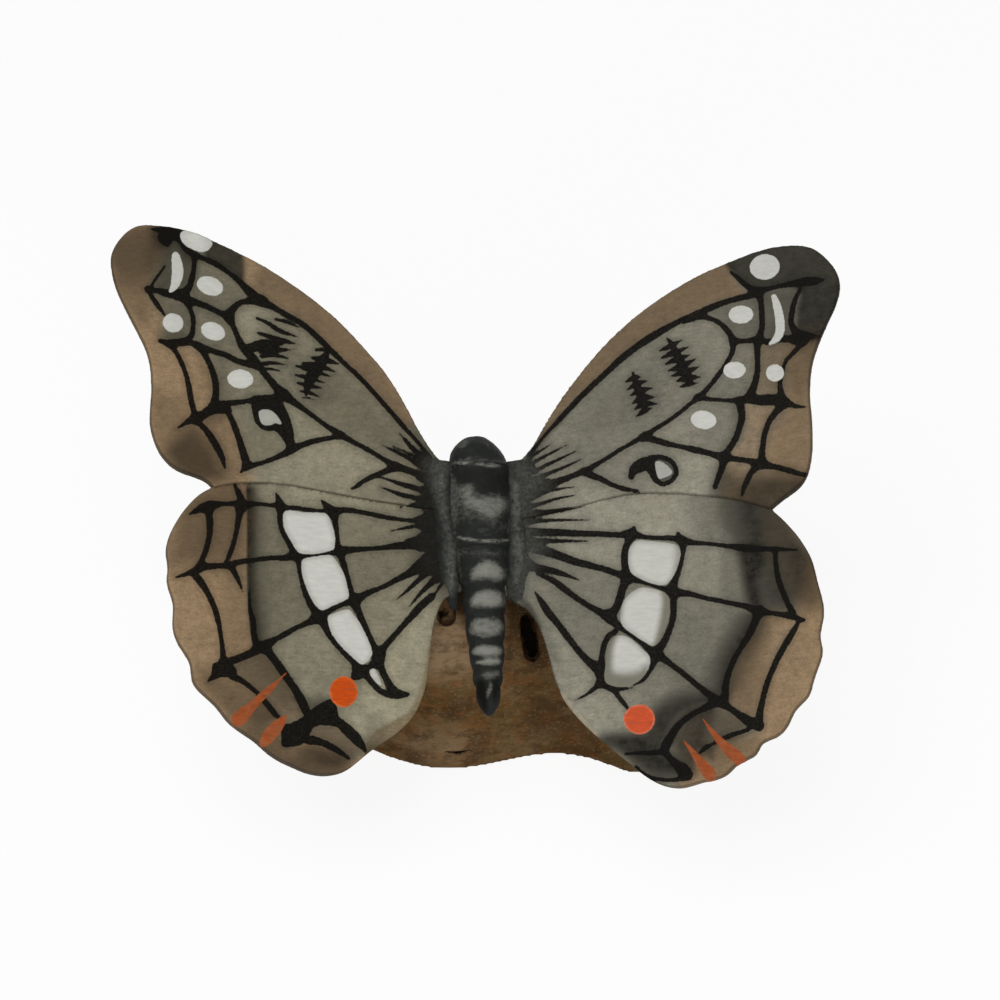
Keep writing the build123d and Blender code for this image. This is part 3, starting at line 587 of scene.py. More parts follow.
HIND_RIGHT_SHADE = [
    (0.8, 16, [(738, 492), (780, 500), (806, 545), (808, 590), (790, 612), (762, 610), (748, 560)]),
    (0.6, 10, [(719, 487), (744, 488), (758, 515), (760, 550), (734, 550), (720, 520)]),
    (0.33, 7, [(722, 552), (744, 552), (744, 604), (722, 600)]),
    (0.9, 7, [(740, 546), (764, 550), (760, 580), (764, 610), (748, 606), (742, 580)]),
    (0.6, 14, [(792, 545), (832, 560), (828, 600), (804, 608)]),
    (0.88, 12, [(684, 692), (716, 698), (694, 712), (680, 722), (672, 738), (668, 752), (690, 764),
        (690, 774), (655, 776), (622, 754), (604, 742), (610, 733), (642, 730), (654, 706)]),
    (0.5, 3, [(694, 709), (704, 708), (688, 720), (680, 730), (674, 743), (668, 746), (670, 730),
        (680, 717)]),
    (0.45, 8, [(626, 752), (662, 750), (690, 768), (692, 776), (655, 778), (636, 766)]),
    (0.75, 8, [(690, 714), (714, 708), (708, 730), (702, 748), (692, 766), (674, 750), (678, 730)]),
    (0.45, 10, [(710, 710), (748, 724), (714, 746), (700, 742)]),
    (0.5, 4, [(698, 742), (712, 746), (714, 760), (706, 756)]),
    (0.55, 12, [(748, 640), (764, 615), (768, 630), (752, 660), (736, 690), (728, 690)]),
    (0.35, 16, [(728, 640), (764, 620), (768, 660), (760, 712), (728, 702)]),
    (0.1, 14, [(545, 575), (600, 612), (612, 630), (600, 668), (560, 625)]),
    (0.3, 14, [(660, 662), (690, 678), (722, 704), (750, 726), (726, 758), (690, 764), (676, 742),
        (690, 714)]),
    (0.55, 6, [(598, 738), (640, 735), (644, 748), (618, 752)]),
    (0.16, 8, [(681, 500), (690, 491), (722, 488), (722, 545), (700, 535), (684, 510)]),
    (0.35, 6, [(520, 598), (532, 598), (550, 628), (560, 662), (550, 658), (534, 625)]),
    (0.7, 3, [(518, 598), (529, 603), (537, 616), (541, 628), (536, 629), (526, 614)]),
    (0.25, 10, [(696, 744), (760, 738), (764, 770), (730, 780), (700, 776)]),
    (0.14, 14, [(680, 592), (752, 608), (730, 670), (715, 700), (660, 655), (676, 620)]),
]
HIND_RIGHT_FADES = [
    (0.85, 34, -1, [(760, 612), (749, 635), (734, 660), (726, 684), (724, 703)]),
    (0.5, 14, 1, [(760, 612), (749, 635), (734, 660), (726, 684), (724, 703)]),
]
HIND_RIGHT_PALE = [
    (0.35, 16, [(530, 600), (548, 616), (590, 665), (600, 690), (630, 700), (628, 740), (600, 738),
        (565, 690), (530, 630)]),
    (0.3, 10, [(556, 680), (588, 690), (602, 728), (578, 715)]),
    (0.48, 14, [(545, 500), (640, 495), (690, 492), (690, 540), (620, 532), (550, 530)]),
    (0.35, 10, [(550, 541), (622, 541), (620, 570), (580, 560)]),
    (0.25, 14, [(688, 545), (740, 549), (740, 600), (680, 592)]),
    (0.6, 5, [(640, 533), (648, 528), (662, 528), (674, 532), (677, 536), (660, 536)]),
]

# Bare edges of the wood, where the paint stops: strength, softness and outline
HIND_LEFT_BARE = [
    (0.85, 2.5, [(431, 636), (426, 664), (420, 689), (409, 711), (389, 723), (373, 733), (364, 750),
        (374, 758), (394, 744), (410, 728), (422, 706), (432, 670), (436, 645)]),
]
HIND_RIGHT_BARE = [
    (0.8, 1.5, [(564, 692), (573, 705), (590, 725), (602, 739), (614, 748), (624, 756), (633, 765),
        (640, 772), (634, 773), (624, 764), (612, 755), (598, 744), (584, 729), (566, 707), (560, 694)]),
]

# Black paint and painted shade at the wing roots, and the dust of filler over them
LEFT_ROOT_BLOTS = [
    [(432, 459), (440, 457), (453, 458), (455, 480), (455, 520), (458, 560), (452, 574), (443, 580),
     (436, 584), (434, 578), (425, 573), (416, 571), (421, 562), (428, 554), (418, 551), (410, 547),
     (417, 542), (424, 539), (416, 537), (421, 531), (414, 527), (419, 524), (413, 518), (424, 513),
     (414, 507), (418, 500), (430, 498), (420, 493), (414, 488), (424, 485), (415, 478), (417, 472),
     (426, 472), (420, 465)],
]
RIGHT_ROOT_BLOTS = [
    [(503, 459), (526, 461), (536, 467), (530, 475), (538, 477), (553, 480), (547, 488), (540, 496),
     (530, 503), (527, 508), (535, 511), (530, 516), (533, 520), (525, 526), (527, 530), (542, 533),
     (528, 538), (545, 545), (548, 552), (540, 555), (535, 550), (528, 550), (530, 558), (541, 567),
     (530, 571), (526, 580), (524, 592), (520, 600), (508, 600), (503, 540)],
]
LEFT_ROOT_SHADE = [
    (0.6, 14, [(420, 455), (440, 462), (448, 600), (436, 588), (420, 575), (412, 545), (416, 515),
        (416, 485)]),
    (0.75, 5, [(443, 580), (456, 568), (472, 568), (472, 608), (456, 608), (450, 600), (447, 590)]),
]
RIGHT_ROOT_SHADE = [
    (0.55, 14, [(512, 462), (530, 464), (545, 480), (535, 500), (530, 520), (540, 545), (540, 560),
        (526, 572), (518, 600), (510, 600)]),
]
LEFT_ROOT_DUST = [
    (0.5, 6, [(434, 462), (448, 462), (450, 500), (456, 540), (454, 576), (446, 582), (444, 560),
        (440, 520), (434, 490)]),
    (0.07, 12, [(418, 460), (448, 462), (456, 580), (440, 584), (422, 570), (414, 545), (416, 510),
        (416, 485)]),
    (0.25, 8, [(424, 458), (438, 462), (440, 490), (432, 488), (426, 474)]),
]
RIGHT_ROOT_DUST = [
    (0.45, 14, [(510, 460), (536, 467), (548, 482), (536, 500), (534, 530), (545, 548), (534, 566),
        (526, 600), (510, 600)]),
]

# Worn tops of the filler beads: strength, softness and outline
LEFT_FILLER_RIDGE = [
    (0.9, 4, [(436, 464), (443, 462), (444, 490), (447, 515), (452, 540), (453, 570), (448, 578),
        (446, 560), (446, 535), (442, 510), (437, 490)]),
]
RIGHT_FILLER_RIDGE = [
    (0.85, 4, [(513, 466), (519, 464), (520, 490), (520, 520), (522, 545), (521, 575), (519, 598),
        (514, 598), (515, 560), (514, 520), (513, 490)]),
]

# Paler patches of the body, mostly dry-brushed, and its neck and waist joints, whose pale lines are painted
# highlight on their raised edges with worn paint, in photo pixels
BODY_PATCHES = [
    (0.66, 9, [(461, 490), (466, 486), (472, 484), (474, 491), (480, 496), (490, 494), (500, 495),
        (507, 500), (507, 508), (501, 515), (492, 519), (482, 517), (474, 511), (465, 504)]),
    (0.3, 10, [(452, 480), (462, 484), (468, 505), (476, 516), (470, 524), (458, 522), (450, 510)]),
    (0.25, 8, [(476, 524), (506, 520), (509, 532), (496, 536), (478, 535)]),
    # Two paler spots on top of the head
    (0.4, 5, [(458, 447), (463, 440), (470, 439), (471, 444), (464, 450)]),
    (0.35, 5, [(485, 440), (491, 443), (494, 449), (489, 448)]),
    (0.35, 6, [(450, 462), (470, 455), (500, 460), (506, 463), (480, 464), (455, 466)]),
    (0.35, 7, [(462, 548), (490, 549), (504, 552), (500, 558), (478, 557), (464, 556)]),
    (0.78, 6, [(471, 579), (474, 567), (484, 561), (494, 562), (502, 568), (504, 578), (496, 581),
        (488, 579)]),
    (0.82, 6, [(471, 605), (474, 594), (486, 590), (500, 592), (504, 603), (497, 607), (482, 607)]),
    (0.68, 6, [(469, 632), (472, 621), (486, 617), (501, 620), (503, 632), (490, 637), (477, 636)]),
    (0.85, 4.5, [(472, 653), (477, 646), (490, 645), (501, 648), (500, 655), (486, 656)]),
    (0.82, 3.5, [(475, 663), (487, 658), (500, 659), (498, 664), (486, 665)]),
    (0.5, 4, [(481, 676), (487, 670), (499, 670), (498, 677), (488, 679)]),
    (0.5, 3, [(489, 683), (493, 684), (492, 691), (488, 699), (486, 694)]),
    (0.35, 5, [(447, 466), (454, 468), (456, 500), (459, 540), (464, 580), (458, 578), (452, 540),
        (447, 500)]),
    (0.4, 4, [(508, 466), (513, 466), (514, 520), (512, 580), (508, 620), (505, 600), (508, 540),
        (509, 500)]),
]
# Patches where the body's black is deeper: the tip of the abdomen and the thorax below the neck
BODY_DEEPER_BLACK = [
    (1.0, 4, [(474, 684), (483, 680), (488, 690), (488, 704), (485, 716), (478, 708)]),
    (0.8, 4, [(490, 682), (500, 680), (499, 694), (493, 700)]),
    (0.35, 6, [(464, 470), (500, 470), (506, 488), (484, 492), (474, 484), (462, 482)]),
]
# Pale lines of the joints: painted highlight on their raised edges, with worn paint
NECK_LINE = [
    [(456, 463, 1), (466, 463.5, 2), (478, 464.5, 1.5), (488, 466, 2), (498, 467, 1)],
]
WAIST_LINE = [
    [(458, 537, 1), (467, 539, 2.2), (480, 540.5, 1.5), (494, 541, 2.2), (510, 540, 1)],
]
NECK_GROOVE = [
    [(449, 471, 5), (458, 466.5, 5), (468, 464, 5), (480, 463, 5), (492, 464, 5), (501, 465.5, 5),
     (508, 468, 5)],
]
WAIST_GROOVE = [
    [(456, 549, 5), (466, 546, 5), (484, 543.5, 5), (500, 545.5, 5), (510, 549, 5)],
]

# Patches of the base, in photo pixels: paler wood with painted light, stains with painted shadow, painted
# shade in its hollows, and a crack
# Paler wood, with painted light where the top faces up and in a strip beside the abdomen
BASE_PALE_AND_LIT_WASH = [
    (0.92, 20, [(428, 618), (442, 612), (468, 616), (474, 645), (474, 668), (450, 676), (426, 674),
        (420, 650)]),
    (0.5, 18, [(398, 738), (440, 728), (470, 735), (452, 760), (412, 758)]),
    (0.1, 16, [(500, 645), (525, 655), (520, 690), (502, 690)]),
    (0.55, 3, [(503, 612), (508, 610), (507, 645), (503, 684), (499, 684)]),
    (0.25, 20, [(440, 755), (480, 745), (520, 736), (545, 742), (500, 758), (450, 768)]),
]
# Painted shadow under the wings, the body and along the foot, with stains round the knot
BASE_SHADOW_AND_STAIN_WASH = [
    (0.6, 8, [(436, 588), (468, 588), (467, 622), (456, 613), (447, 606), (438, 612)]),
    (0.25, 12, [(502, 654), (530, 656), (542, 680), (520, 696), (502, 692)]),
    (0.2, 26, [(400, 704), (640, 704), (650, 775), (390, 775)]),
    (0.45, 14, [(525, 692), (556, 698), (592, 735), (562, 742), (530, 725)]),
    (0.88, 10, [(504, 584), (530, 604), (546, 625), (548, 655), (540, 670), (520, 650), (508, 630)]),
    (0.35, 26, [(545, 650), (580, 700), (620, 760), (600, 770), (560, 735), (530, 690)]),
    (0.45, 14, [(430, 694), (470, 694), (482, 706), (470, 716), (440, 712)]),
    (0.5, 9, [(405, 755), (440, 770), (490, 764), (540, 752), (590, 762), (560, 764), (500, 772),
        (440, 778)]),
]
# Painted shade inside the knot hole and the small hollow, and painted shadow under the right hindwing's
# edge
BASE_HOLLOW_SHADOWS = [
    (1.0, 4, [(522, 618), (527, 616), (532, 627), (536, 642), (537, 653), (534, 664), (529, 656),
        (525, 642), (522, 630)]),
    (0.4, 7, [(512, 608), (526, 606), (538, 614), (540, 626), (530, 622), (516, 618)]),
    (0.7, 5, [(436, 617), (439, 609), (445, 607), (450, 611), (449, 617), (444, 620), (440, 625)]),
]
BASE_CRACKS = [
    [(445, 753, 1), (451, 754, 3), (461, 753.5, 3), (471, 751, 1)],
]


# Noise, curves and distances


def value_noise(points, size, seed):
    """Smooth noise from -1 to 1 with features of a size, the same on each run."""
    cells = 32
    table = np.random.default_rng(seed).uniform(-1, 1, (cells, cells, cells))
    place = points / size
    low = np.floor(place).astype(int)
    share = place - low
    share = share * share * (3 - 2 * share)
    total = np.zeros(len(points))
    for dx in (0, 1):
        for dy in (0, 1):
            for dz in (0, 1):
                weight = np.ones(len(points))
                for axis, step in enumerate((dx, dy, dz)):
                    weight *= share[:, axis] if step else 1 - share[:, axis]
                corner = (low + (dx, dy, dz)) % cells
                total += weight * table[corner[:, 0], corner[:, 1], corner[:, 2]]
    return total


def waves(points, pairs, seed):
    """Sum of noises of several sizes and heights."""
    return sum(height * value_noise(points, size, seed + i) for i, (size, height) in enumerate(pairs))


def smooth_step(value, low, high):
    share = np.clip((value - low) / (high - low), 0, 1)
    return share * share * (3 - 2 * share)


def curve(points, closed):
    """Smooth line through given points, with any further columns carried along."""
    p = np.array(points, float)
    if closed:
        p = np.vstack([p[-1], p, p[0], p[1]])
    else:
        p = np.vstack([2 * p[0] - p[1], p, 2 * p[-1] - p[-2]])
    line = []
    for a, b, c, d in zip(p, p[1:], p[2:], p[3:]):
        for step in range(CURVE_STEPS):
            t = step / CURVE_STEPS
            bend = (2 * a - 5 * b + 4 * c - d) * t ** 2 + (3 * b - a - 3 * c + d) * t ** 3
            line.append(b + ((c - a) * t + bend) / 2)
    line.append(p[-2])
    return np.array(line)


def near_line(pixels, line, reach):
    """Which pixels lie within reach of the box round a line."""
    low = line[:, :2].min(axis=0) - reach
    high = line[:, :2].max(axis=0) + reach
    return np.all((pixels > low) & (pixels < high), axis=1)


def line_distance(pixels, line):
    """Distance to a line less half its width, and the side of the line on which a pixel lies."""
    gap = np.full(len(pixels), FAR_PX)
    side = np.ones(len(pixels))
    for start, end in zip(line, line[1:]):
        along = end[:2] - start[:2]
        offset = pixels - start[:2]
        share = np.clip(offset @ along / max(along @ along, 1e-9), 0, 1)
        away = np.hypot(*(offset - share[:, None] * along).T)
        if len(start) > 2:
            away -= np.maximum(start[2] + (end[2] - start[2]) * share, 0.3) / 2
        closer = away < gap
        gap[closer] = away[closer]
        side[closer] = np.sign(along[0] * offset[closer, 1] - along[1] * offset[closer, 0])
    return gap, side


def inside(pixels, ring):
    """Even-odd test of pixels against a closed line."""
    crossings = np.zeros(len(pixels), bool)
    x, y = pixels.T
    for (ax, ay), (bx, by) in zip(ring, np.roll(ring, -1, axis=0)):
        spans = (ay > y) != (by > y)
        if ay != by:
            crossings ^= spans & (x < ax + (y - ay) * (bx - ax) / (by - ay))
    return crossings


def stroke_distance(pixels, strokes, web):
    """Distance to the edge of strokes, less than zero inside them, with a web of paint where they meet."""
    best = np.full(len(pixels), FAR_PX)
    for stroke in strokes:
        line = curve(stroke, False)
        near = near_line(pixels, line, PAINT_REACH_PX)
        gap, side = line_distance(pixels[near], line)
        old = best[near]
        if web:
            share = np.clip((old - gap) / (2 * web) + 0.5, 0, 1)
            best[near] = old + (gap - old) * share - web * share * (1 - share)
        else:
            best[near] = np.minimum(old, gap)
    return best


def patch_distance(pixels, patches, reach=PAINT_REACH_PX):
    """Distance to the edge of closed patches, less than zero inside them."""
    best = np.full(len(pixels), FAR_PX)
    for patch in patches:
        ring = curve(patch, True)
        near = near_line(pixels, ring, reach)
        gap, side = line_distance(pixels[near], ring)
        gap[inside(pixels[near], ring[:-1])] *= -1
        best[near] = np.minimum(best[near], gap)
    return best


def oval(x, y, across, along, turn):
    angle = np.linspace(0, 2 * math.pi, OVAL_POINTS, endpoint=False)
    flat = np.stack([across * np.cos(angle), along * np.sin(angle)])
    c, s = math.cos(math.radians(turn)), math.sin(math.radians(turn))
    return (np.array([[c, -s], [s, c]]) @ flat).T + (x, y)


def dab_distance(pixels, ovals, patches, streaks):
    shapes = [oval(*shape) for shape in ovals] + patches
    return np.minimum(patch_distance(pixels, shapes), stroke_distance(pixels, streaks, 0))


def washes(pixels, patches, fades):
    """Soft paint from 0 to 1: patches with blurred edges, and fades that thin out on one side of a line."""
    bare = np.ones(len(pixels))
    for strength, softness, points in patches:
        gap = patch_distance(pixels, [points], softness)
        bare *= 1 - strength * smooth_step(-gap, -softness, softness)
    for strength, reach, way, points in fades:
        line = curve(points, False)
        near = near_line(pixels, line, reach)
        gap, side = line_distance(pixels[near], line)
        ahead = -way * side * gap
        height = pixels[near, 1]
        ends = smooth_step(height, line[0, 1] - FADE_END_PX, line[0, 1] + FADE_END_PX)
        ends *= smooth_step(-height, -line[-1, 1] - FADE_END_PX, -line[-1, 1] + FADE_END_PX)
        start = smooth_step(ahead, -FADE_START_PX, FADE_START_PX)
        bare[near] *= 1 - strength * ends * start * smooth_step(-ahead, -reach, 0)
    return 1 - bare


# Pieces


def photo_pixels(points):
    """Where points of the row frame, in millimetres, show in the photograph."""
    tilt = math.radians(CAMERA_ELEVATION)
    offset = points - CAMERA_PLACE
    depth = offset @ (0, math.cos(tilt), -math.sin(tilt))
    rise = offset @ (0, math.sin(tilt), math.cos(tilt))
    scale = PHOTO_WIDTH_PX * LENS / SENSOR / depth
    return np.stack([PHOTO_WIDTH_PX / 2 + offset[:, 0] * scale, PHOTO_WIDTH_PX / 2 - rise * scale], axis=1)


def remeshed(node, voxel, smooth_steps=SMOOTH_STEPS):
    """New piece with the shape of a CAD node, cut into small even faces."""
    piece = bpy.data.objects.new("carved_" + node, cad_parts[node].data.copy())
    bpy.context.scene.collection.objects.link(piece)
    weld = bmesh.new()
    weld.from_mesh(piece.data)
    bmesh.ops.remove_doubles(weld, verts=weld.verts, dist=1e-7)
    weld.to_mesh(piece.data)
    weld.free()
    remesh = piece.modifiers.new("remesh", "REMESH")
    remesh.mode = "VOXEL"
    remesh.voxel_size = voxel * MM
    smooth = piece.modifiers.new("smooth", "SMOOTH")
    smooth.factor = 0.5
    smooth.iterations = smooth_steps
    graph = bpy.context.evaluated_depsgraph_get()
    mesh = bpy.data.meshes.new_from_object(piece.evaluated_get(graph))
    piece.modifiers.clear()
    piece.data = mesh
    mesh.materials.clear()
    mesh.shade_smooth()
    return piece


def points_of(piece):
    """Points of a piece in millimetres, and its normals."""
    count = len(piece.data.vertices)
    points = np.empty(count * 3)
    normals = np.empty(count * 3)
    piece.data.vertices.foreach_get("co", points)
    piece.data.vertex_normals.foreach_get("vector", normals)
    return points.reshape(-1, 3) / MM, normals.reshape(-1, 3)


def move_points(piece, points):
    piece.data.vertices.foreach_set("co", (points * MM).ravel())
    piece.data.update()


def paint_layer(piece, name, values):
    layer = piece.data.attributes.new(name, "FLOAT", "POINT")
    layer.data.foreach_set("value", values.astype(np.float32))


def seat(piece, node, material):
    """The piece takes the node's place on the root body."""
    piece.data.materials.append(material)
    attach(piece, "root")
    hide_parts(node)


def towards_camera(points, normals):
    rays = np.array(CAMERA_PLACE) - points
    rays /= np.linalg.norm(rays, axis=1)[:, None]
    return smooth_step(np.sum(rays * normals, axis=1), *CAMERA_FACE_SHARES)


# Materials


def linear(colour):
    """Shader colour of a colour out of 255."""
    share = np.array(colour) / 255
    low = share / 12.92
    high = ((share + 0.055) / 1.055) ** 2.4
    return (*np.where(share <= 0.04045, low, high), 1.0)


class Nodes:
    """Short ways to add the shader nodes that the materials share."""

    def __init__(self, name):
        self.material = bpy.data.materials.new(name)
        self.material.use_nodes = True
        self.tree = self.material.node_tree
        self.shader = self.tree.nodes["Principled BSDF"]
        self.place = self.tree.nodes.new("ShaderNodeTexCoord").outputs["Object"]

    def link(self, value, socket):
        if isinstance(value, bpy.types.NodeSocket):
            self.tree.links.new(value, socket)
        else:
            socket.default_value = value

    def layer(self, name):
        node = self.tree.nodes.new("ShaderNodeAttribute")
        node.attribute_name = name
        return node.outputs["Fac"]

    def math(self, operation, a, b):
        node = self.tree.nodes.new("ShaderNodeMath")
        node.operation = operation
        self.link(a, node.inputs[0])
        self.link(b, node.inputs[1])
        return node.outputs[0]

    def scaled(self, value, low, high, start, end, kind="SMOOTHSTEP"):
        """The value's run from low to high turned into a run from start to end."""
        node = self.tree.nodes.new("ShaderNodeMapRange")
        node.interpolation_type = kind
        self.link(value, node.inputs["Value"])
        node.inputs["From Min"].default_value = low
        node.inputs["From Max"].default_value = high
        node.inputs["To Min"].default_value = start
        node.inputs["To Max"].default_value = end
        return node.outputs["Result"]

    def mix(self, share, a, b, blend="MIX"):
        node = self.tree.nodes.new("ShaderNodeMix")
        node.data_type = "RGBA"
        node.blend_type = blend
        self.link(share, node.inputs["Factor"])
        self.link(a, node.inputs["A"])
        self.link(b, node.inputs["B"])
        return node.outputs["Result"]

    def noise(self, size, detail, stretch=(1, 1, 1)):
        """Noise with features of a size in millimetres, longer along the axes that are stretched."""
        mapping = self.tree.nodes.new("ShaderNodeMapping")
        mapping.inputs["Scale"].default_value = [1 / (size * MM * share) for share in stretch]
        self.tree.links.new(self.place, mapping.inputs["Vector"])
        node = self.tree.nodes.new("ShaderNodeTexNoise")
        node.inputs["Scale"].default_value = 1
        node.inputs["Detail"].default_value = detail
        node.inputs["Roughness"].default_value = 0.6
        self.tree.links.new(mapping.outputs["Vector"], node.inputs["Vector"])
        return node.outputs["Fac"]

    def grey(self, value):
        """A value as an even grey."""
        node = self.tree.nodes.new("ShaderNodeCombineColor")
        for channel in ("Red", "Green", "Blue"):
            self.tree.links.new(value, node.inputs[channel])
        return node.outputs["Color"]

    def finish(self, colour, roughness, height, depth, specular):
        """Joins a colour, a roughness and a bump of a depth in millimetres to the shader."""
        bump = self.tree.nodes.new("ShaderNodeBump")
        bump.inputs["Strength"].default_value = 1.0
        bump.inputs["Distance"].default_value = depth * MM
        self.link(height, bump.inputs["Height"])
        self.link(colour, self.shader.inputs["Base Color"])
        self.link(roughness, self.shader.inputs["Roughness"])
        self.link(bump.outputs["Normal"], self.shader.inputs["Normal"])
        self.shader.inputs["Specular IOR Level"].default_value = specular
        return self.material


def wing_paint(name, grey, pale, bare, orange, rim):
    n = Nodes(name)
    ragged = n.math("SUBTRACT", n.noise(0.55, 3), 0.5)
    fine = n.noise(0.3, 5, (1.4, 1, 1))
    brush = n.noise(0.5, 3, (9, 1, 1))
    blotch = n.noise(1.3, 3)
    cloud = n.noise(5.0, 3)

    def edge(layer, shake, blur):
        """Share of a dab's paint from its distance layer, with a slightly ragged edge."""
        gap = n.math("ADD", n.layer(layer), n.math("MULTIPLY", ragged, shake))
        return n.scaled(gap, -blur, blur, 1, 0)

    ink = edge("ink", 2.0, 0.5)
    white = edge("white", 1.6, 0.5)
    dab = edge("orange", 1.8, 0.5)

    tan = n.math("ADD", n.layer("tan"), n.math("MULTIPLY", n.math("SUBTRACT", cloud, 0.5), 0.35))
    colour = n.mix(n.layer("pale"), linear(grey), linear(pale))
    colour = n.mix(n.scaled(tan, 0, 1, 0, 1, "LINEAR"), colour, linear(WING_TAN))
    colour = n.mix(n.layer("under"), colour, linear(WING_UNDERSIDE))
    colour = n.mix(n.layer("bare"), colour, linear(bare))
    mottle = n.math("ADD", n.scaled(fine, 0.25, 0.75, 0.84, 1.16), n.scaled(brush, 0.3, 0.7, -0.07, 0.07))
    mottle = n.math("ADD", mottle, n.scaled(cloud, 0.3, 0.7, -0.06, 0.06))
    mottle = n.math("ADD", mottle, n.scaled(blotch, 0.3, 0.7, -0.1, 0.1))
    colour = n.mix(1.0, colour, n.grey(mottle), "MULTIPLY")
    uneven = n.math("ADD", n.scaled(fine, 0.25, 0.75, -0.05, 0.04), n.scaled(blotch, 0.3, 0.7, 0.93, 1.04))
    shade = n.math("MULTIPLY", n.layer("shade"), uneven)
    colour = n.mix(shade, colour, linear(WING_SHADE))
    halo = n.scaled(n.layer("ink"), 0, 6, 0.2, 0)
    colour = n.mix(halo, colour, linear(WING_SHADE))
    colour = n.mix(n.math("MULTIPLY", ink, n.scaled(fine, 0.2, 0.6, 0.9, 1)), colour, linear(INK_BLACK))

    dust = n.math("MULTIPLY", n.layer("dust"), n.scaled(ragged, -0.2, 0.2, 0.5, 1.1))
    colour = n.mix(dust, colour, linear(FILLER_PALE))

    # White turns grey by the dim layer: painted shade along the edges of the hindwings' white blocks, and
    # greyer dabs on the forewings
    chalk = n.mix(n.layer("dim"), linear(SPOT_WHITE), linear(grey))
    chalk = n.mix(n.math("MULTIPLY", n.layer("shade"), 0.12), chalk, linear(WING_SHADE))
    chalk = n.mix(1.0, chalk, n.grey(n.scaled(brush, 0.25, 0.75, 0.92, 1.05)), "MULTIPLY")
    colour = n.mix(white, colour, chalk)
    salmon = n.mix(n.scaled(blotch, 0.4, 0.65, 0, 0.5), linear(STREAK_SALMON), linear(STREAK_PALE))
    edging = n.scaled(n.layer("orange"), -DAB_RIM_PX, 0, 0, DAB_RIM_SHARE)
    edging = n.math("MULTIPLY", edging, n.scaled(ragged, -0.15, 0.15, 0.3, 1.2))
    flame = n.mix(edging, linear(orange), linear(rim))
    flame = n.mix(n.layer("streak"), flame, salmon)
    flame = n.mix(1.0, flame, n.grey(n.scaled(brush, 0.25, 0.75, 0.84, 1.14)), "MULTIPLY")
    cover = n.scaled(n.layer("streak"), 0, 1, 1, STREAK_COVER_SHARE)
    cover = n.math("MULTIPLY", cover, n.scaled(brush, 0.25, 0.5, 0.82, 1))
    colour = n.mix(n.math("MULTIPLY", dab, cover), colour, flame)

    roughness = n.math("ADD", n.scaled(fine, 0.2, 0.8, 0.52, 0.74), n.math("MULTIPLY", ink, -0.1))
    height = n.math("ADD", n.math("MULTIPLY", fine, 0.6), n.math("MULTIPLY", brush, 0.5))
    return n.finish(colour, roughness, height, 0.05, 0.04)


def body_paint():
    n = Nodes("body_paint")
    fine = n.noise(0.3, 4)
    brush = n.noise(0.6, 4, (2.5, 1, 1))
    cloud = n.noise(1.6, 4)
    rub = n.math("MULTIPLY", n.math("SUBTRACT", brush, 0.5), 0.7)
    rub = n.math("ADD", rub, n.math("MULTIPLY", fine, 0.25))
    dry = n.math("ADD", n.layer("patch"), n.math("SUBTRACT", rub, 0.12))
    dry = n.math("MULTIPLY", n.scaled(dry, 0.15, 0.95, 0, 1), n.scaled(n.layer("patch"), 0, 0.2, 0, 1))
    colour = n.mix(n.scaled(cloud, 0.45, 0.75, 0, 0.8), linear(BODY_BLACK), linear(FILLER_GREY))
    colour = n.mix(n.layer("deeper_black"), colour, linear(INK_BLACK))
    colour = n.mix(dry, colour, linear(BODY_GREY))
    # Pale line along the neck and waist joints, painted highlight on their raised edges with worn paint
    joint_highlight = n.math("MULTIPLY", n.layer("line"), n.scaled(brush, 0.35, 0.6, 0.1, 0.8))
    colour = n.mix(joint_highlight, colour, linear(BODY_GREY))
    roughness = n.scaled(fine, 0.2, 0.8, 0.42, 0.68)
    height = n.math("ADD", fine, n.math("MULTIPLY", brush, 0.7))
    return n.finish(colour, roughness, height, 0.08, 0.06)


def root_filler():
    n = Nodes("root_filler")
    lumps = n.noise(0.7, 4)
    fine = n.noise(0.25, 4)
    broad = n.noise(3.0, 3)
    rub = n.math("ADD", n.scaled(lumps, 0.3, 0.7, -0.35, 0.35), n.scaled(broad, 0.3, 0.7, -0.2, 0.2))
    worn = n.math("MULTIPLY", n.layer("ridge"), n.math("ADD", rub, 0.65))
    colour = n.mix(n.scaled(lumps, 0.45, 0.75, 0, 0.6), linear(BODY_BLACK), linear(FILLER_GREY))
    colour = n.mix(worn, colour, linear(FILLER_PALE))
    colour = n.mix(n.scaled(fine, 0.5, 0.75, 0, 0.4), colour, linear(BODY_BLACK))
    roughness = n.scaled(fine, 0.2, 0.8, 0.55, 0.8)
    height = n.math("ADD", lumps, n.math("MULTIPLY", fine, 0.5))
    return n.finish(colour, roughness, height, 0.12, 0.06)


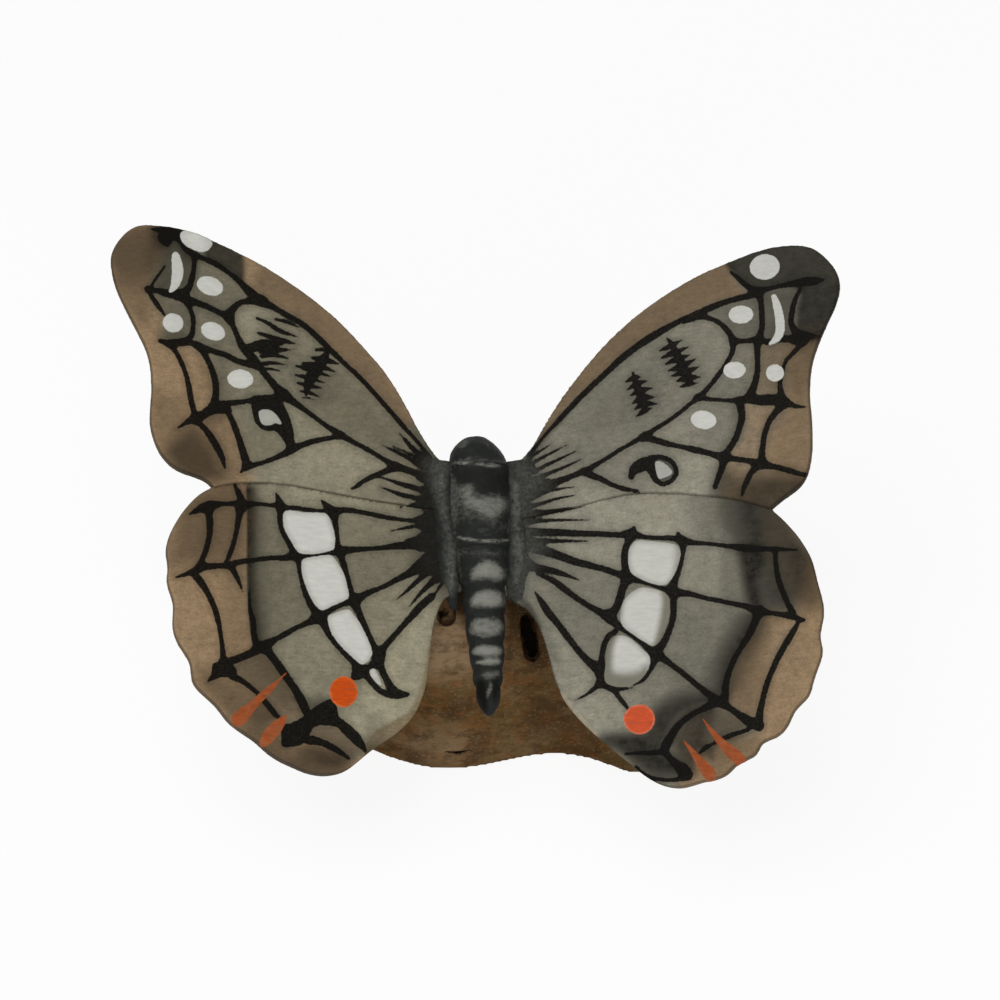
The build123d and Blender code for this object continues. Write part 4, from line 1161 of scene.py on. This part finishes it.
def rough_wood():
    n = Nodes("rough_wood")
    grain = n.noise(0.9, 5, (2.6, 1.3, 1))
    broad = n.noise(3.4, 5, (1.5, 1, 1))
    rusty = n.noise(2.4, 5, (1.4, 1, 1))
    tawny = n.noise(1.6, 5, (1.5, 1, 1))
    fine = n.noise(0.35, 5, (1.6, 1, 1))
    colour = n.mix(n.scaled(rusty, 0.42, 0.6, 0, 0.9), linear(BASE_BROWN), linear(BASE_RUST))
    # Paler wood, with painted light where the base's top faces up
    colour = n.mix(n.layer("pale"), colour, linear(BASE_PALE))
    colour = n.mix(n.scaled(tawny, 0.52, 0.64, 0, 0.2), colour, linear(BASE_PALE))
    colour = n.mix(n.scaled(broad, 0.48, 0.62, 0, 0.55), colour, linear(BASE_DARK))
    # Painted shadow under the wings and body, with stains
    colour = n.mix(n.layer("shadow_and_stain"), colour, linear(BASE_DARK))
    colour = n.mix(n.scaled(grain, 0.3, 0.55, 0.45, 0), colour, linear(BASE_DARK))
    colour = n.mix(n.scaled(fine, 0.5, 0.75, 0, 0.34), colour, linear(BASE_PALE))
    # Near black painted in the hollows and the crack, as painted shade
    torn = n.math("MULTIPLY", n.math("SUBTRACT", n.noise(0.8, 4), 0.5), 1.1)
    hollow_shadow = n.scaled(n.math("ADD", n.layer("hollow_shadow"), torn), 0.3, 0.75, 0, 1)
    colour = n.mix(hollow_shadow, colour, linear(BASE_HOLLOW_SHADOW))
    roughness = n.scaled(fine, 0.2, 0.8, 0.7, 0.92)
    height = n.math("ADD", grain, n.math("MULTIPLY", fine, 0.4))
    return n.finish(colour, roughness, height, 0.3, 0.06)


def dowel_wood():
    n = Nodes("dowel_wood")
    grain = n.noise(0.35, 4, (6, 6, 1))
    fine = n.noise(0.15, 3, (5, 5, 1))
    colour = n.mix(n.scaled(grain, 0.35, 0.65, 0, 1), linear(DOWEL_PALE), linear(DOWEL_DARK))
    roughness = n.scaled(fine, 0.2, 0.8, 0.5, 0.75)
    return n.finish(colour, roughness, grain, 0.05, 0.35)


# Dressing of each piece


def close_seam(points, beside):
    """Moves the points of a wing that face the one in front of it up to that wing, as the paint does."""
    tree = BVHTree.FromPolygons([v.co / MM for v in beside.data.vertices],
                                [p.vertices for p in beside.data.polygons])
    for i, point in enumerate(points):
        target, normal, face, gap = tree.find_nearest(point, SEAM_REACH)
        if target is not None and gap > 0:
            points[i] += (np.array(target) - point) * (1 + SEAM_LAP / gap)


def dress_wing(node, paint, beside, seed):
    piece = remeshed(node, WING_VOXEL)
    points, normals = points_of(piece)
    pitch = math.radians(BODY_PITCH)
    facing = normals @ (0, -math.sin(pitch), math.cos(pitch))
    upper = smooth_step(facing, *UPPER_FACE_SHARES)
    rim = 1 - smooth_step(facing, *RIM_FACE_SHARES)
    pixels = photo_pixels(points)
    ink = stroke_distance(pixels, paint["ink"], INK_WEB_PX)
    ink = np.minimum(ink, stroke_distance(pixels, paint["hatch"], 0))
    ink = np.minimum(ink, patch_distance(pixels, paint["blots"])) + FAR_PX * (1 - upper)
    white = dab_distance(pixels, *paint["white"]) - DAB_SPREAD_PX + FAR_PX * (1 - upper)
    streak = stroke_distance(pixels, paint["orange"][2], 0)
    orange = dab_distance(pixels, *paint["orange"])
    streaky = np.where(streak > orange, 0, 1)
    orange += FAR_PX * (1 - upper)
    relief = INK_RELIEF * smooth_step(-ink, -RELIEF_EDGE_PX, RELIEF_EDGE_PX)
    relief += SPOT_RELIEF * smooth_step(-np.minimum(white, orange), -RELIEF_EDGE_PX, RELIEF_EDGE_PX)
    bare = washes(pixels, paint["bare"], []) * upper
    shade = 1 - washes(pixels, paint["shade"], paint["fades"])
    shade = 1 - shade * (1 - RIM_SHADE_SHARE * rim * (1 - bare))
    growth = paint["growth"] * rim * (1 - smooth_step(normals[:, 1], 0, LEAD_FACE_SHARE))
    points += normals * (waves(points, WING_WAVES, seed) + relief + growth)[:, None]
    if beside:
        close_seam(points, beside)
    move_points(piece, points)
    paint_layer(piece, "ink", ink)
    paint_layer(piece, "white", white)
    paint_layer(piece, "orange", orange)
    paint_layer(piece, "streak", streaky)
    paint_layer(piece, "tan", washes(pixels, paint["tan"], []))
    paint_layer(piece, "pale", washes(pixels, paint["pale"], []))
    paint_layer(piece, "shade", shade * upper)
    paint_layer(piece, "bare", bare)
    # Whites grey towards their edges, as painted shade on the hindwings' blocks, and further under the
    # greying washes
    white_unshaded = 1 - paint["dim"] * smooth_step(white, -CHALK_DIM_PX, 0)
    paint_layer(piece, "dim", 1 - white_unshaded * (1 - washes(pixels, paint["veil"], [])))
    paint_layer(piece, "dust", washes(pixels, paint["dust"], []) * upper)
    paint_layer(piece, "under", 1 - upper)
    seat(piece, node, paint["material"])
    return piece


def dress_body(node, material, seed):
    piece = remeshed(node, BODY_VOXEL)
    points, normals = points_of(piece)
    seen = towards_camera(points, normals)
    pixels = photo_pixels(points)
    # The pale joint lines, painted highlight with worn paint, also stand a little proud
    line = seen * smooth_step(-stroke_distance(pixels, NECK_LINE + WAIST_LINE, 0), -1.5, 0.5)
    groove = seen * smooth_step(-stroke_distance(pixels, NECK_GROOVE + WAIST_GROOVE, 0), -4, 1)
    lift = SPOT_RELIEF * line + GROOVE_FILL * groove
    points += normals * (waves(points, BODY_WAVES, seed) + lift)[:, None]
    points[:, 0] -= HEAD_LEAN * smooth_step(-pixels[:, 1], *HEAD_LEAN_RUN_PX)
    move_points(piece, points)
    paint_layer(piece, "patch", seen * washes(pixels, BODY_PATCHES, []))
    paint_layer(piece, "deeper_black", seen * washes(pixels, BODY_DEEPER_BLACK, []))
    paint_layer(piece, "line", line)
    seat(piece, node, material)


def dress_filler(side, ridges, material, seed):
    piece = remeshed("root_filler_" + side, BODY_VOXEL)
    points, normals = points_of(piece)
    pixels = photo_pixels(points)
    ridge = washes(pixels, ridges, []) * towards_camera(points, normals)
    tail = smooth_step(pixels[:, 1], *FILLER_TAIL_RUN_PX)[:, None]
    across, along = FILLER_TAILS[side]
    pitch = math.radians(BODY_PITCH)
    down = np.array((0, math.sin(pitch), -math.cos(pitch)))
    back = np.array((0, -math.cos(pitch), -math.sin(pitch)))
    points += normals * waves(points, FILLER_WAVES, seed)[:, None] + normals * FILLER_SPREAD * (1 - tail)
    points += (FILLER_SINK + TAIL_SINK * tail) * down + along * tail * back
    points[:, 0] += across * tail[:, 0]
    move_points(piece, points)
    paint_layer(piece, "ridge", ridge)
    seat(piece, "root_filler_" + side, material)


def dress_base(node, material, seed):
    piece = remeshed(node, BASE_VOXEL, BASE_SMOOTH_STEPS)
    points, normals = points_of(piece)
    seen = towards_camera(points, normals)
    pixels = photo_pixels(points)
    crack = seen * smooth_step(-stroke_distance(pixels, BASE_CRACKS, 0), -1.0, 1.0)
    along_grain = points / (BASE_GRAIN_STRETCH, 1, 1)
    dent = waves(along_grain, BASE_WAVES, seed)
    dent = np.minimum(dent - dent.max() / 2, 0) - CRACK_DEPTH * crack
    foot = smooth_step(points[:, 2], 0, BASE_FOOT)
    points += normals * (dent * foot)[:, None]
    points += normals * (FOOT_SWELL, FOOT_SWELL, 0) * (1 - foot)[:, None]
    move_points(piece, points)
    # Painted shade in the hollows and the crack
    hollow_shadow = np.maximum(washes(pixels, BASE_HOLLOW_SHADOWS, []) * seen, 0.85 * crack)
    # Paler wood, with painted light where the top faces up
    paint_layer(piece, "pale", washes(pixels, BASE_PALE_AND_LIT_WASH, []) * seen)
    # Painted shadow under the wings and body, with stains
    paint_layer(piece, "shadow_and_stain", washes(pixels, BASE_SHADOW_AND_STAIN_WASH, []) * seen)
    paint_layer(piece, "hollow_shadow", hollow_shadow)
    seat(piece, node, material)


LEFT_WING_PAINT = wing_paint("wing_paint_left", WING_GREY_LEFT, WING_PALE_LEFT, WING_BARE_LEFT,
                             DAB_ORANGE_LEFT, DAB_PALE_LEFT)
RIGHT_WING_PAINT = wing_paint("wing_paint_right", WING_GREY_RIGHT, WING_PALE_RIGHT, WING_BARE_RIGHT,
                              DAB_ORANGE_RIGHT, DAB_PALE_RIGHT)
WING_PAINTS = {
    "forewing_left": {
        "ink": FORE_LEFT_INK + HIND_LEFT_INK, "hatch": FORE_LEFT_HATCH,
        "blots": FORE_LEFT_BLOTS + LEFT_ROOT_BLOTS,
        "white": (FORE_LEFT_OVALS, FORE_LEFT_DABS, []), "orange": ([], [], []),
        "tan": FORE_LEFT_TAN, "pale": FORE_LEFT_PALE, "shade": FORE_LEFT_SHADE + LEFT_ROOT_SHADE,
        "fades": [], "bare": [], "dust": LEFT_ROOT_DUST, "dim": 0.05, "veil": FORE_LEFT_VEIL,
        "growth": 0.14, "material": LEFT_WING_PAINT,
    },
    "forewing_right": {
        "ink": FORE_RIGHT_INK + HIND_RIGHT_INK, "hatch": FORE_RIGHT_HATCH, "blots": RIGHT_ROOT_BLOTS,
        "white": (FORE_RIGHT_OVALS, FORE_RIGHT_DABS, FORE_RIGHT_STREAKS), "orange": ([], [], []),
        "tan": FORE_RIGHT_TAN, "pale": FORE_RIGHT_PALE, "shade": FORE_RIGHT_SHADE + RIGHT_ROOT_SHADE,
        "fades": [], "bare": [], "dust": RIGHT_ROOT_DUST, "dim": 0.0, "veil": FORE_RIGHT_VEIL,
        "growth": 0.28, "material": RIGHT_WING_PAINT,
    },
    "hindwing_left": {
        "ink": HIND_LEFT_INK + FORE_LEFT_INK, "hatch": [], "blots": HIND_LEFT_BLOTS + LEFT_ROOT_BLOTS,
        "white": ([], HIND_LEFT_DABS, []),
        "orange": (HIND_LEFT_ORANGE_OVALS, [], HIND_LEFT_ORANGE_STREAKS),
        "tan": HIND_LEFT_TAN, "pale": HIND_LEFT_PALE, "shade": HIND_LEFT_SHADE + LEFT_ROOT_SHADE,
        "fades": HIND_LEFT_FADES, "bare": HIND_LEFT_BARE, "dust": LEFT_ROOT_DUST, "dim": 0.35, "veil": [],
        "growth": 0.05, "material": LEFT_WING_PAINT,
    },
    "hindwing_right": {
        "ink": HIND_RIGHT_INK + FORE_RIGHT_INK, "hatch": [], "blots": RIGHT_ROOT_BLOTS,
        "white": ([], HIND_RIGHT_DABS, []),
        "orange": (HIND_RIGHT_ORANGE_OVALS, [], HIND_RIGHT_ORANGE_STREAKS),
        "tan": HIND_RIGHT_TAN, "pale": HIND_RIGHT_PALE, "shade": HIND_RIGHT_SHADE + RIGHT_ROOT_SHADE,
        "fades": HIND_RIGHT_FADES, "bare": HIND_RIGHT_BARE, "dust": RIGHT_ROOT_DUST, "dim": 0.4,
        "veil": HIND_RIGHT_WHITE_SHADE,
        "growth": 0.16, "material": RIGHT_WING_PAINT,
    },
}
forewings = {}
for seed, side in enumerate(("left", "right")):
    forewings[side] = dress_wing("forewing_" + side, WING_PAINTS["forewing_" + side], None, 10 * seed)
for seed, side in enumerate(("left", "right")):
    dress_wing("hindwing_" + side, WING_PAINTS["hindwing_" + side], forewings[side], 20 + 10 * seed)

black = body_paint()
for seed, node in enumerate(("thorax", "head", "abdomen")):
    dress_body(node, black, 100 + 10 * seed)
putty = root_filler()
for seed, (side, ridges) in enumerate((("left", LEFT_FILLER_RIDGE), ("right", RIGHT_FILLER_RIDGE))):
    dress_filler(side, ridges, putty, 200 + 10 * seed)
dress_base("base_block", rough_wood(), 300)

pale_wood = dowel_wood()
for node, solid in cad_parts.items():
    if node.endswith(("dowel", "peg")):
        solid.data.materials.clear()
        solid.data.materials.append(pale_wood)


# Stage, light and camera


def camera_share(tree, share):
    """One for what the camera sees straight, in gloss or through glass, and nothing for other light."""
    path = tree.nodes.new("ShaderNodeLightPath")
    total = path.outputs["Is Camera Ray"]
    for name in ("Is Glossy Ray", "Is Transmission Ray"):
        add = tree.nodes.new("ShaderNodeMath")
        add.operation = "MAXIMUM"
        tree.links.new(total, add.inputs[0])
        tree.links.new(path.outputs[name], add.inputs[1])
        total = add.outputs[0]
    weigh = tree.nodes.new("ShaderNodeMath")
    weigh.operation = "MULTIPLY"
    tree.links.new(total, weigh.inputs[0])
    weigh.inputs[1].default_value = share
    return weigh.outputs[0]


def make_floor():
    half = FLOOR_SIZE * MM / 2
    mesh = bpy.data.meshes.new("floor")
    corners = [(-half, -half, 0), (half, -half, 0), (half, half, 0), (-half, half, 0)]
    mesh.from_pydata(corners, [], [(0, 1, 2, 3)])
    floor = bpy.data.objects.new("floor", mesh)
    bpy.context.scene.collection.objects.link(floor)
    material = bpy.data.materials.new("floor_paper")
    material.use_nodes = True
    tree = material.node_tree
    tree.nodes.clear()
    paper = tree.nodes.new("ShaderNodeBsdfDiffuse")
    paper.inputs["Color"].default_value = (FLOOR_GREY, FLOOR_GREY, FLOOR_GREY, 1)
    glow = tree.nodes.new("ShaderNodeEmission")
    glow.inputs["Strength"].default_value = 1
    blend = tree.nodes.new("ShaderNodeMixShader")
    tree.links.new(camera_share(tree, FLOOR_GLOW_SHARE), blend.inputs["Fac"])
    tree.links.new(paper.outputs[0], blend.inputs[1])
    tree.links.new(glow.outputs[0], blend.inputs[2])
    output = tree.nodes.new("ShaderNodeOutputMaterial")
    tree.links.new(blend.outputs[0], output.inputs["Surface"])
    mesh.materials.append(material)


def make_world():
    world = bpy.data.worlds.new("studio")
    bpy.context.scene.world = world
    world.use_nodes = True
    tree = world.node_tree
    tree.nodes.clear()
    room = tree.nodes.new("ShaderNodeBackground")
    room.inputs["Strength"].default_value = WORLD_LEVEL
    white = tree.nodes.new("ShaderNodeBackground")
    white.inputs["Strength"].default_value = 1
    for shade in (room, white):
        shade.inputs["Color"].default_value = (1, 1, 1, 1)
    blend = tree.nodes.new("ShaderNodeMixShader")
    tree.links.new(camera_share(tree, 1), blend.inputs["Fac"])
    tree.links.new(room.outputs[0], blend.inputs[1])
    tree.links.new(white.outputs[0], blend.inputs[2])
    output = tree.nodes.new("ShaderNodeOutputWorld")
    tree.links.new(blend.outputs[0], output.inputs["Surface"])


def make_lamp(name, place, size, watts):
    """Square soft light aimed at the butterfly."""
    data = bpy.data.lights.new(name, "AREA")
    data.size = size * MM
    data.energy = watts
    lamp = bpy.data.objects.new(name, data)
    bpy.context.scene.collection.objects.link(lamp)
    lamp.location = [value * MM for value in place]
    target = sum(CAD_BOX, CAD_BOX[0] * 0) / 2
    lamp.rotation_euler = (target - lamp.location).to_track_quat("-Z", "Y").to_euler()


def make_camera():
    data = bpy.data.cameras.new("camera")
    data.lens = LENS
    data.sensor_width = SENSOR
    data.clip_start = 0.01
    camera = bpy.data.objects.new("camera", data)
    bpy.context.scene.collection.objects.link(camera)
    camera.location = [value * MM for value in CAMERA_PLACE]
    camera.rotation_euler = (math.radians(90 - CAMERA_ELEVATION), 0, 0)
    bpy.context.scene.camera = camera


make_floor()
make_world()
make_lamp("key", KEY_PLACE, KEY_SIZE, KEY_WATTS)
make_lamp("fill", FILL_PLACE, FILL_SIZE, FILL_WATTS)
make_camera()
bpy.context.scene.view_settings.view_transform = "Standard"
